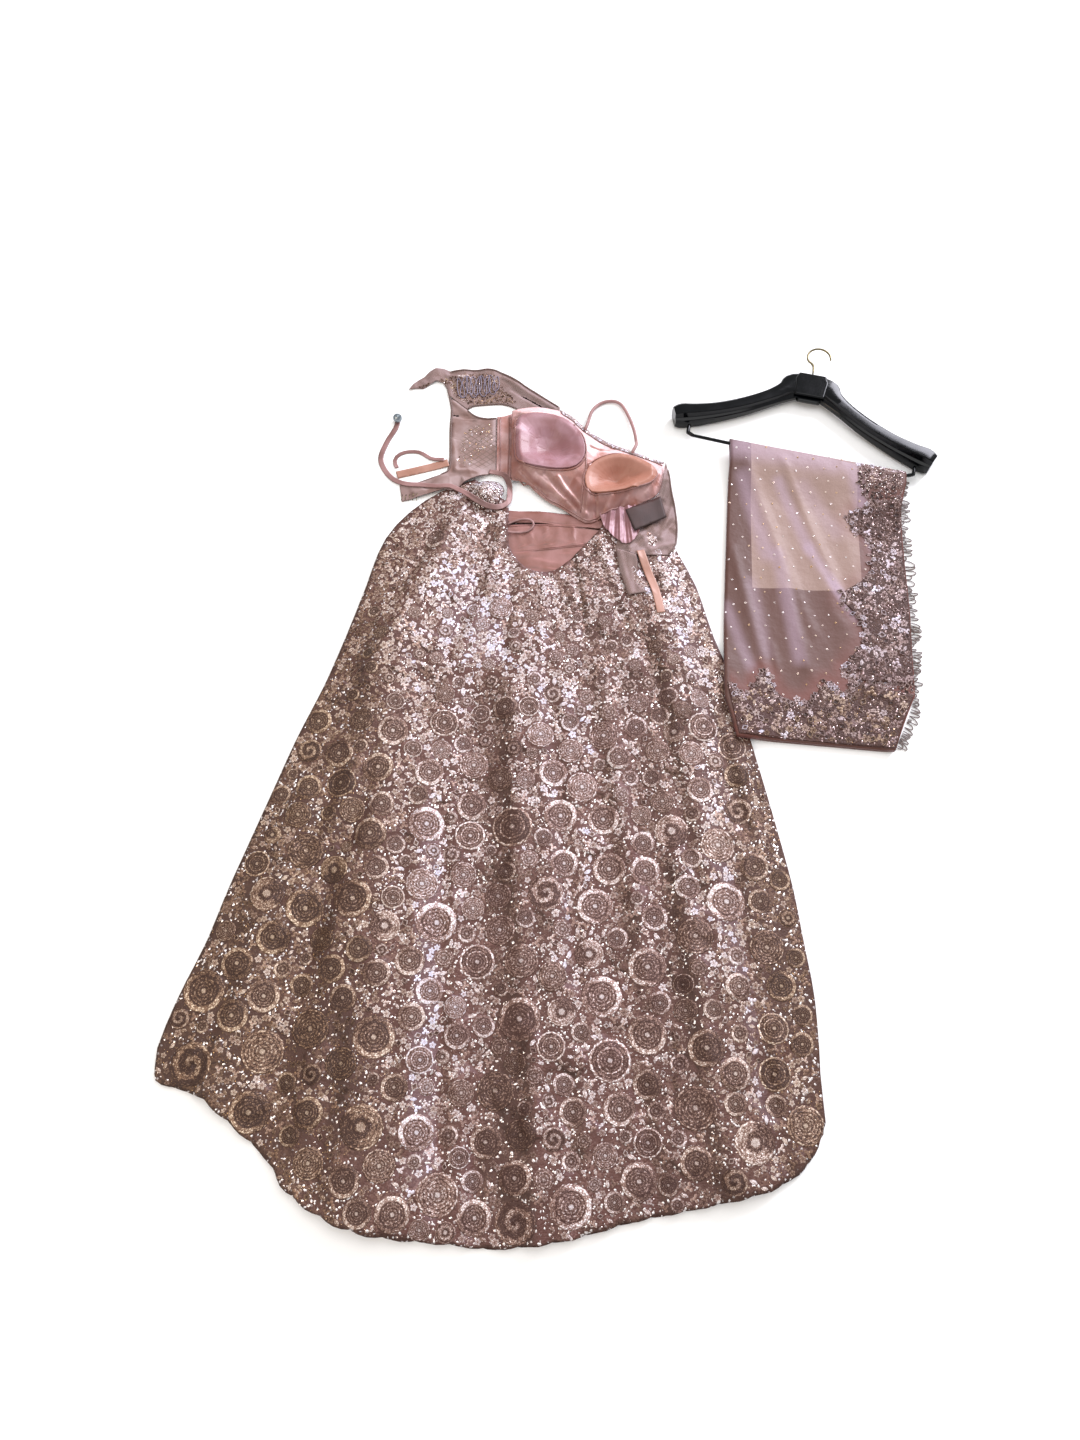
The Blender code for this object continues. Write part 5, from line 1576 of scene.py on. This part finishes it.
def gathered_folds(node: str) -> tuple[Crease, ...]:
    """Folds that fan out down a gathered piece, ridge and furrow in turn."""
    low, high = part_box(node)
    wide = high.x - low.x
    return tuple((low.x + wide * (0.22 + 0.10 * i), high.y, low.x + wide * (0.02 + 0.16 * i), low.y,
                  0.0022 if i % 2 else -0.0020, 0.0042) for i in range(7))


# The cut bead stands out a little more than its round solid
CRYSTAL_FULLNESS = 1.28
CRYSTAL_LIFT = 0.0007
# Creases, glows and seam lines of the blouse
FRONT_CREASES: tuple[Crease, ...] = metres((
    (-78, 428, -30, 388, 3, 6), (-60, 428, -10, 372, -3, 5.5), (-40, 420, 2, 360, 3, 5),
    (-100, 440, -60, 400, -2.2, 6), (10, 440, 4, 360, 3.4, 5.5), (18, 410, 20, 355, -3, 5),
    (45, 385, 30, 358, 2.2, 5), (70, 392, 56, 372, -2, 5), (15, 480, 60, 470, 2.4, 5),
    (18, 495, 50, 482, -2.2, 4.5), (120, 430, 100, 395, 2.4, 5),
))
FRONT_GLOWS: tuple[Crease, ...] = metres((
    (0, 500, 100, 460, 0.16, 30), (-60, 400, 0, 355, -0.14, 30), (0, 430, 10, 370, -0.34, 10),
    (80, 385, 125, 420, 0.3, 16), (-78, 428, -30, 388, 0.34, 7), (-40, 420, 2, 360, 0.3, 7),
    (12, 440, 6, 362, 0.28, 7), (47, 385, 31, 358, 0.3, 5), (-58, 428, -10, 374, -0.46, 6),
    (21, 410, 22, 357, -0.46, 6),
), STRENGTH)
CUP_CREASES: tuple[Crease, ...] = metres((
    (-70, 448, -12, 456, 1.6, 8), (-30, 482, -6, 494, 1, 8),
))
CUP_GLOWS: tuple[Crease, ...] = metres((
    (-90, 515, -50, 525, 0.12, 24), (-85, 470, -30, 460, -0.05, 30), (-10, 500, 0, 450, -0.14, 16),
    (30, 425, 90, 440, -0.1, 30), (-60, 440, -10, 436, -0.16, 8),
), STRENGTH)
WING_CREASES: tuple[Crease, ...] = metres((
    (-212, 585, -180, 555, 1.6, 7), (-212, 560, -176, 552, -1.4, 6), (-205, 450, -150, 440, 1.6, 7),
    (-270, 405, -215, 418, 1.4, 6), (-255, 420, -200, 440, -1.2, 6), (-212, 520, -205, 450, 1.4, 7),
))
SHOULDER_CREASES: tuple[Crease, ...] = metres((
    (-130, 635, -45, 573, 1.6, 6), (-115, 610, -50, 566, -1.4, 6), (-225, 640, -185, 630, 1.4, 6),
    (-222, 625, -218, 595, 1.4, 6),
))
RIGHT_CREASES: tuple[Crease, ...] = metres((
    (140, 440, 128, 390, 2.4, 6), (146, 390, 120, 320, 2.6, 8), (142, 350, 95, 300, -2.4, 8),
    (140, 310, 85, 290, 2.2, 7), (110, 345, 70, 300, 2, 7), (90, 315, 60, 295, -1.8, 6),
))
CUP_EDGES = metres((
    ((-106.5, 533.5), (-83.8, 540.5), (-53.8, 538.5), (-27.8, 530), (-7, 510), (3.5, 486), (4.8, 462),
     (-2.2, 444), (-18.5, 432.8), (-46.8, 430.8), (-78, 438), (-102.5, 451.5), (-108.5, 473.5), (-108.8, 505)),
    ((15.5, 447), (47.5, 461.5), (81.5, 457.5), (110.5, 439), (117.2, 424.5), (104.5, 408), (78.5, 398),
     (42, 388), (11.5, 387), (1, 402), (2, 426)),
))
BLOUSE_SEAMS = metres((
    ((-134, 448), (-134.5, 500), (-134, 553)),
    ((-120.5, 442), (-120, 500), (-119.5, 556)),
    ((5, 462), (4, 430), (-1.5, 400), (-5, 364)),
    ((54, 369), (24, 358), (6.5, 351.5), (-15, 364.5), (-35, 379.5), (-54, 390.5), (-76, 411), (-111, 431)),
    ((-34, 556), (-11, 537), (13, 511), (82, 471), (129, 453)),
))
NET_EDGES = metres((
    ((-219, 595), (-214.5, 570), (-215, 530), (-214, 490), (-214, 467), (-219, 448), (-245, 435.5),
     (-272, 424.5), (-290, 423.5)),
    ((-189, 568), (-176, 557), (-158, 552), (-141, 553)),
    ((-103, 569), (-113, 576), (-130, 582), (-151, 581.5), (-180, 578), (-188, 572)),
    ((-219, 648), (-185, 650), (-152, 650.8), (-131, 644), (-111, 630), (-86, 612), (-61, 593), (-38, 576)),
    ((134, 454), (139, 415), (146, 374), (147, 340), (143, 309), (131, 290)),
))
# Slim loops of thread that overlap: (x, y of the middle, half width, half length, lean)
THREAD_LOOPS = metres((
    (-202, 613, 5, 19, 0.2), (-195, 615, 5.6, 21, -0.1), (-187.5, 619, 5, 18, 0.16),
    (-180, 616, 6, 21.5, 0.05), (-172.5, 619, 5.2, 19, -0.16), (-165, 617.5, 5.8, 21, 0.12),
    (-157, 620.5, 5, 18, -0.06), (-149.5, 620, 5.6, 19, 0.14), (-142, 622, 4.8, 15, -0.12),
), LEAN)
# Where the shoulder and the left wing are beaded
BEADED_SHOULDER = metres((
    (-290, 610), (-235, 630), (-215, 636), (-190, 642), (-145, 641), (-130, 612), (-108, 586), (-138, 574),
    (-186, 578), (-211, 600), (-225, 625), (-256, 616),
))
LATTICE = metres((
    (-190.3, 536.5), (-146.3, 542.8), (-145.5, 492.8), (-188, 456), (-206, 464),
))


@dataclass
class Dupatta:
    """The folded veil on its bar, with its borders, small sequins and fringe."""

    seed: int = 23

    def build(self, stuff: dict[str, Material]) -> None:
        """Makes the dupatta's pieces.

        Args:
            stuff: The materials by name.
        """
        backing, threads, sequin = stuff["border_net"], stuff["silver"], stuff["sequin"]
        cloth = LaidCloth("dupatta_veil", "dupatta_folded", "veil", (0.285, 1.02), None, 2, 4, VEIL_CREASES,
                          held="folded", rests_on=("hanger_bar_rail",)).build(stuff["veil"])
        side = LaidCloth("dupatta_border_down", "dupatta_border_side", "beadwork", (0.12, 0.33), 0.0215, 3, 2,
                         rests_on=("dupatta_veil",), steepness=0.15, raised=-0.0008).build(backing)
        foot = LaidCloth("dupatta_border_across", "dupatta_border_foot", "beadwork", (0.275, 0.122), 0.0196,
                         3, 2, rests_on=("dupatta_veil",), steepness=0.15, raised=-0.0008).build(backing)
        self.tint(cloth, side, foot)
        chance = random.Random(self.seed)
        cover(side, "border_down_beads", threads, sequin, chance, 165, (0.0095, 0.0150), 220, None, 0.35)
        cover(foot, "border_across_beads", threads, sequin, chance, 155, (0.0095, 0.0150), 200, None, 1.0)
        # The band runs on up to the bar, round its lower corner and past its net's scallops
        for name, outline, count in (("border_top_beads", BORDER_TOP, 130),
                                     ("border_corner_beads", BORDER_TURN, 50)):
            cover(cloth, name, threads, sequin, chance, count, (0.0085, 0.0125), count * 3, outline, 0.4)
        ground = bmesh.new()
        for piece in (cloth, side, foot):
            ground.from_mesh(piece.data)
        under = object_of("border_ground", mesh_of(ground, "border_ground"))
        self.scallops(under, threads, chance)
        bpy.data.objects.remove(under)
        self.fringe(chance, stuff["strings"])
        self.sprinkle(cloth, sequin, chance)

    def tint(self, cloth: Object, *borders: Object) -> None:
        """Paints the veil's sheen, and how near its points are to the border.

        Args:
            cloth: The veil.
            *borders: The border's pieces.
        """
        edge = surface_of(*borders)
        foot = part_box("dupatta_border_foot")[0]
        gleams, nearness = [], []
        for vert in cloth.data.vertices:
            gleams.append(clamp(sum_of_bands(VEIL_SHEENS, vert.co.x, vert.co.y), 0.85))
            off = edge.find_nearest(vert.co)[3]
            strength = 1 - ease((off - 0.004) / 0.026)
            # The turned edges below and beside the border stay dark
            turned = vert.co.y < foot.y + 0.016 or vert.co.x < foot.x + 0.006
            nearness.append(0.0 if turned else strength * (0.85 if vert.co.y < 0.11 else 0.45))
        paint(cloth.data, "gleam", gleams)
        paint(cloth.data, "near_border", nearness)

    def scallops(self, cloth: Object, threads: Material, chance: random.Random) -> None:
        """Sews single flowers and leaves just past the border's inner edge.

        Args:
            cloth: The veil and the border as one.
            threads: The motifs' material.
            chance: The source of chance.
        """
        motifs = Scatter("border_scallop_beads", spray_meshes(), cloth, threads, "beadwork", 0.0006)
        for line in BORDER_LINES:
            edge = smooth_line(line, False, 8)
            for i in range(len(edge) - 1):
                (ax, ay), (bx, by) = edge[i], edge[i + 1]
                turn = math.atan2(by - ay, bx - ax)
                away = chance.uniform(-0.005, 0.004) if i % 2 else chance.uniform(-0.002, 0.011)
                kind = chance.choice((Spray.FLOWER, Spray.LEAF, Spray.KITE, Spray.FLOWER))
                motifs.add(ax - away * math.sin(turn), ay + away * math.cos(turn), kind.value,
                           chance.uniform(0.008, 0.012), (0, 0, turn + math.pi / 2 + chance.uniform(-0.5, 0.5)),
                           chance.uniform(0, 0.3), 0.012, chance.uniform(0.5, 0.95))
        motifs.build()

    def fringe(self, chance: random.Random, finish: Material) -> None:
        """Hangs uneven bead loops from the border's outer edge.

        Args:
            chance: The source of chance.
            finish: Their material.
        """
        edge = smooth_line(FRINGE_EDGE, False, 24)
        loops = []
        step = 0.0
        while step < len(edge) - 2:
            (ax, ay), (bx, by) = edge[int(step)], edge[int(step) + 1]
            length = math.hypot(bx - ax, by - ay)
            out = ((ay - by) / length, (bx - ax) / length)
            if out[0] * 0.9 - out[1] * 0.4 <= 0:
                out = (-out[0], -out[1])
            reach, half = chance.uniform(0.005, 0.0175), chance.uniform(0.0018, 0.0052)
            along = ((bx - ax) / length, (by - ay) / length)
            skew = chance.uniform(-0.004, 0.004)
            line = []
            for k in range(9):
                t = k / 8
                side = -half * math.cos(math.pi * t) + skew * math.sin(math.pi * t)
                far = reach * math.sin(math.pi * t) ** 0.7
                line.append((ax + along[0] * side + out[0] * far, ay + along[1] * side + out[1] * far))
            loops.append((line, False))
            step += chance.uniform(1.2, 4.6)
        Cords("dupatta_bead_loops", "beadwork", 0.0009, loops, (), 0.5).build(finish, "dupatta_fringe")

    def sprinkle(self, cloth: Object, sequin: Material, chance: random.Random) -> None:
        """Sets small bead crosses over the veil, about 22 mm apart.

        Args:
            cloth: The veil.
            sequin: Their material.
            chance: The source of chance.
        """
        star = MotifMesh()
        for i in range(4):
            star.dome(0.55 * math.cos(i * math.pi / 2), 0.55 * math.sin(i * math.pi / 2), 0.42, 0.4, 1.0, 5)
        surface = surface_of(cloth)
        sprinkled = Scatter("dupatta_sprinkle", [star.mesh("bead_star")], cloth, sequin, "beadwork", 0.0003)
        for row in range(24):
            for column in range(13):
                x = 0.212 + 0.0225 * (column + 0.5 * (row % 2)) + chance.uniform(-0.004, 0.004)
                y = 0.030 + 0.0195 * row + chance.uniform(-0.004, 0.004)
                if cloth_at(surface, x, y)[0] and x < 0.47 and chance.random() < 0.85:
                    sprinkled.add(x, y, 0, chance.uniform(0.0014, 0.0022), (0, 0, chance.uniform(0, 3)),
                                  chance.uniform(0, 1.0), None, chance.uniform(0.2, 1.0))
        sprinkled.build()


VEIL_CREASES: tuple[Crease, ...] = metres((
    (262, 450, 345, 150, 2.2, 14), (320, 455, 400, 200, 2, 12), (230, 300, 270, 80, 2, 12),
    (300, 300, 330, 90, 1.8, 12), (245, 70, 262, 100, 2, 8), (280, 130, 285, 90, 1.8, 8),
))
# Soft sheens: over the pale field's top, and slanting down the cloth
VEIL_SHEENS: tuple[Crease, ...] = metres((
    (250, 480, 400, 450, 0.6, 35), (257, 430, 285, 290, 0.55, 22), (312, 420, 350, 300, 0.55, 16),
    (350, 300, 400, 200, 0.6, 14), (300, 290, 318, 110, 0.5, 18), (255, 240, 270, 120, 0.3, 18),
    (425, 460, 455, 300, 0.6, 20), (215, 200, 243, 100, 0.4, 16), (350, 410, 395, 330, 0.28, 24),
    (380, 240, 410, 180, 0.4, 14),
), STRENGTH)
# Where the border's band runs on over the veil, its inner edge and seam, and the fringe's edge
BORDER_TOP = metres((
    (433, 456), (456, 470), (498, 452), (510, 440), (502, 376), (462, 380), (444, 390), (436, 420), (442, 440),
))
BORDER_TURN = metres((
    (387, 85), (502, 85), (504, 60), (490, 48), (390, 52),
))
BORDER_LINES = metres((
    ((462, 383), (448.7, 373.7), (422.2, 361.7), (419.2, 339.7), (447.2, 308.7), (436.2, 251.7),
     (391.2, 216.7), (410.2, 182.7), (419.2, 144.7), (385.2, 97.7), (394.7, 73.7)),
    ((394.7, 73.7), (377.7, 54.7), (356.2, 73.7), (324.2, 41.7), (282.2, 51.7), (264.2, 88.7), (232.2, 51.7),
     (207.2, 69.7)),
    ((395, 72), (425, 70.5), (460, 69), (490, 69)),
))
FRINGE_EDGE = metres((
    (508.5, 430), (505, 390), (501, 340), (498.5, 288), (496.5, 230), (494.5, 180), (489.5, 130), (485.5, 85),
    (480.5, 40), (464, 2), (450, -25),
))


@dataclass
class Hanger:
    """The coat hanger: moulded body, bar and wire hook.

    Attributes:
        centre: Where its own frame's middle lies on the plan.
        turn: How far it is turned.
        height: The height of the body's middle.
        arm: From the middle to an end: (x, y, half depth in plan, half thickness).
    """

    centre: Point = (0.3857, 0.6297)
    turn: float = math.radians(-12.9)
    height: float = 0.0170
    arm: tuple[tuple[float, float, float, float], ...] = (
        (0.000, -0.031, 0.0268, 0.0072), (0.0255, -0.0325, 0.0256, 0.0072), (0.039, -0.0445, 0.0176, 0.0078),
        (0.064, -0.064, 0.0135, 0.0088), (0.100, -0.088, 0.0130, 0.0108), (0.140, -0.109, 0.0130, 0.0133),
        (0.175, -0.123, 0.0145, 0.0158), (0.198, -0.130, 0.0160, 0.0168), (0.2105, -0.135, 0.0125, 0.0140))
    # The arm's section, across towards the hook and up: a top face, a ridge and a lower flange
    section: tuple[Point, ...] = (
        (-1.0, -0.25), (-1.0, 0.15), (-0.93, 0.30), (-0.62, 0.38), (-0.55, 0.62), (-0.50, 0.92), (-0.40, 1.0),
        (0.30, 1.0), (0.62, 0.95), (0.86, 0.78), (0.97, 0.50), (1.0, 0.15), (1.0, -0.50), (0.93, -0.85),
        (0.75, -1.0), (-0.75, -1.0), (-0.93, -0.85))

    def place(self, x: float, y: float, z: float) -> tuple[float, float, float]:
        """A point in the hanger's own frame, in the part's frame."""
        c, s = math.cos(self.turn), math.sin(self.turn)
        return self.centre[0] + x * c - y * s, self.centre[1] + x * s + y * c, z

    def loft(self) -> Mesh:
        """The body's mesh, through its stations with a closed end at each side.

        Returns:
            The mesh.
        """
        form = bmesh.new()
        plan = smooth_line([(x, y) for x, y, _, _ in self.arm], False, 4)
        sizes = smooth_line([(depth, thick) for _, _, depth, thick in self.arm], False, 4)
        stations = [(*at, *size) for at, size in zip(plan, sizes)]
        stations = [(-x, y, d, t) for x, y, d, t in stations[:0:-1]] + stations
        rings = []
        for i, (x, y, depth, thick) in enumerate(stations):
            ax, ay = stations[min(i + 1, len(stations) - 1)][:2]
            bx, by = stations[max(i - 1, 0)][:2]
            length = math.hypot(ax - bx, ay - by)
            nx, ny = -(ay - by) / length, (ax - bx) / length
            rings.append([form.verts.new(self.place(x + nx * depth * a, y + ny * depth * a,
                                                    self.height + thick * rise)) for a, rise in self.section])
        bridge(form, rings)
        bmesh.ops.recalc_face_normals(form, faces=form.faces[:])
        return mesh_of(form, "hanger_moulding")

    def block(self) -> Mesh:
        """The raised plate with broken edges in the middle of the body.

        Returns:
            The mesh.
        """
        form = bmesh.new()
        low, high = self.height + 0.0060, self.height + 0.0088
        outline = metres(((-20.5, -7.5), (20.5, -7.5), (25.5, -20), (22.5, -50), (-22.5, -50), (-25.5, -20)))
        feet = [form.verts.new(self.place(x * 1.10, -0.029 + (y + 0.029) * 1.10, low)) for x, y in outline]
        tops = [form.verts.new(self.place(x, y, high)) for x, y in outline]
        bridge(form, [feet, tops])
        bmesh.ops.recalc_face_normals(form, faces=form.faces[:])
        return mesh_of(form, "hanger_block")

    def build(self, stuff: dict[str, Material]) -> None:
        """Makes the hanger's pieces.

        Args:
            stuff: The materials by name.
        """
        plastic = stuff["plastic"]
        for mesh, width in ((self.loft(), 0.0009), (self.block(), 0.0012)):
            obj = object_of(mesh.name, mesh, plastic)
            breaker = obj.modifiers.new("Edges", "BEVEL")
            breaker.width = width
            breaker.segments = 3
            breaker.limit_method = "ANGLE"
            breaker.angle_limit = math.radians(24)
            breaker.harden_normals = True
            settle(obj)
            declare(obj, "black_plastic", "hanger_body")
        Solid("hanger_bar_rail", "hanger_bar", "black_plastic", 1).build(plastic)
        Solid("hanger_wire_hook", "hanger_hook", "chrome", 1).build(stuff["wire"])


@dataclass
class Studio:
    """The pale floor, soft lights and the camera at the photo's angle."""

    camera_at: tuple[float, float, float] = (-0.0688, -0.5783, 1.47)
    tilt: float = math.radians(22)
    lens: float = 27.0
    sensor: float = 36.0
    # Half the floor's side, and its height just under the cloth
    floor: float = 6.0
    floor_at: float = -0.0006

    def build(self) -> None:
        """Sets the floor, the lights, the world and the camera."""
        mesh = bpy.data.meshes.new("floor")
        corners = ((-1, -1), (1, -1), (1, 1), (-1, 1))
        mesh.from_pydata([(x * self.floor, y * self.floor, self.floor_at) for x, y in corners], [],
                         [(0, 1, 2, 3)])
        pale = Graph("pale_floor").finished({"Base Color": "#f7f7f7", "Roughness": 0.9})
        object_of("floor", mesh, pale, False)
        for name, place, size, power, colour in (
                ("window", (2.4, 2.9, 2.1), 1.7, 210.0, "#f4f3ff"),
                ("ceiling", (0.2, 0.4, 3.4), 3.0, 62.0, "#ffffff"),
                ("lamp", (-2.4, -1.2, 2.0), 1.4, 28.0, "#ffe9d2")):
            light = bpy.data.lights.new(name, "AREA")
            light.size = size
            light.energy = power
            light.color = linear(colour)[:3]
            obj = bpy.data.objects.new(name, light)
            obj.location = place
            aim = Vector((-0.05, -0.1, 0.0)) - Vector(place)
            obj.rotation_euler = aim.to_track_quat("-Z", "Y").to_euler()
            bpy.context.scene.collection.objects.link(obj)
        world = bpy.data.worlds.new("studio")
        world.use_nodes = True
        feed(world.node_tree, world.node_tree.nodes["Background"], {"Color": "#ffffff", "Strength": 0.62})
        bpy.context.scene.world = world
        bpy.context.scene.view_settings.view_transform = "Standard"
        camera = bpy.data.cameras.new("camera")
        camera.lens = self.lens
        camera.sensor_width = self.sensor
        obj = bpy.data.objects.new("camera", camera)
        obj.location = self.camera_at
        obj.rotation_euler = (self.tilt, 0.0, 0.0)
        bpy.context.scene.collection.objects.link(obj)
        bpy.context.scene.camera = obj


def finishes() -> dict[str, Material]:
    """Makes every material.

    Returns:
        The materials by name.
    """
    recipes = {
        "lining": Woven("skirt_lining_satin", "#926155", "#7b4c41", "#ae8080", "#5b362f", sheen=0.15),
        "satin": Woven("satin_lining", "#c18b80", "#a96c5f", "#ecccd0", "#63352a", roughness=0.36, sheen=0.25),
        "lilac": Woven("cup_satin", "#a4767b", "#906568", "#bb97a5", "#6d4344", sheen=0.15, turn=0.4),
        "tan": Woven("cup_tan_satin", "#ac7563", "#9f6a59", "#bb8878", "#8a5848", sheen=0.15, turn=0.4),
        "net": Woven("plain_net", "#79544a", "#633f36", "#957c80", "#492b22", Weave.NET, 1.6, 0.7, 0.1,
                     thread="#a19692"),
        "lattice": Woven("latticed_net", "#8c6f69", "#795a51", "#aa9595", "#5d423a", Weave.LATTICE, 8.0, 0.6,
                         0.1, thread="#5f4c40", worked=(-0.168, 0.497, 0.034, 0.050)),
        "ribbon": Woven("narrow_ribbon", "#8c6560", "#734f4a", "#b28b8b", "#4f322e", Weave.RIBBON,
                        roughness=0.5, sheen=0.1),
        "peach": Woven("peach_ribbon", "#ab7c6b", "#946856", "#c1978b", "#754c39", Weave.RIBBON,
                       roughness=0.45, sheen=0.1),
        "label": Woven("bare_label", "#3a1d1a", "#2e1613", "#4a2c28", "#1b0d0b", roughness=0.6, sheen=0.0),
        "white": Woven("white_thread", "#a69db3", "#887e97", "#cbc4d8", "#5d5367", Weave.RIBBON),
        "strings": Woven("bead_strings", "#a39189", "#6f5c55", "#d6cbd0", "#4a3a33", Weave.RIBBON),
        "threads": BeadedThread("beaded_thread"),
        "silver": BeadedThread("border_beading", "#2f1612", "#4f2f29", "#c8b0b2", "#2c170d", "#54351f",
                               "#b79d84", 0.22),
        "sequin": Sequin("sequins"), "wire": PlatedWire(), "ground": SequinnedNet(),
        "crystal": CutCrystal(), "veil": LayeredVeil(), "plastic": Moulded(),
        "border_net": SequinnedNet("border_net", "#4a1e17", "#3d190d", "#562c25", "#4f2b1a", "#a08a88"),
    }
    return {name: recipe.make() for name, recipe in recipes.items()}


def main() -> None:
    """Builds the studio and each sub-assembly in order."""
    logging.basicConfig(level=logging.INFO, format="%(name)s: %(message)s")
    Studio().build()
    stuff = finishes()
    for assembly in (Skirt(), Blouse(), Dupatta(), Hanger()):
        assembly.build(stuff)


if __name__ == "__main__":
    main()
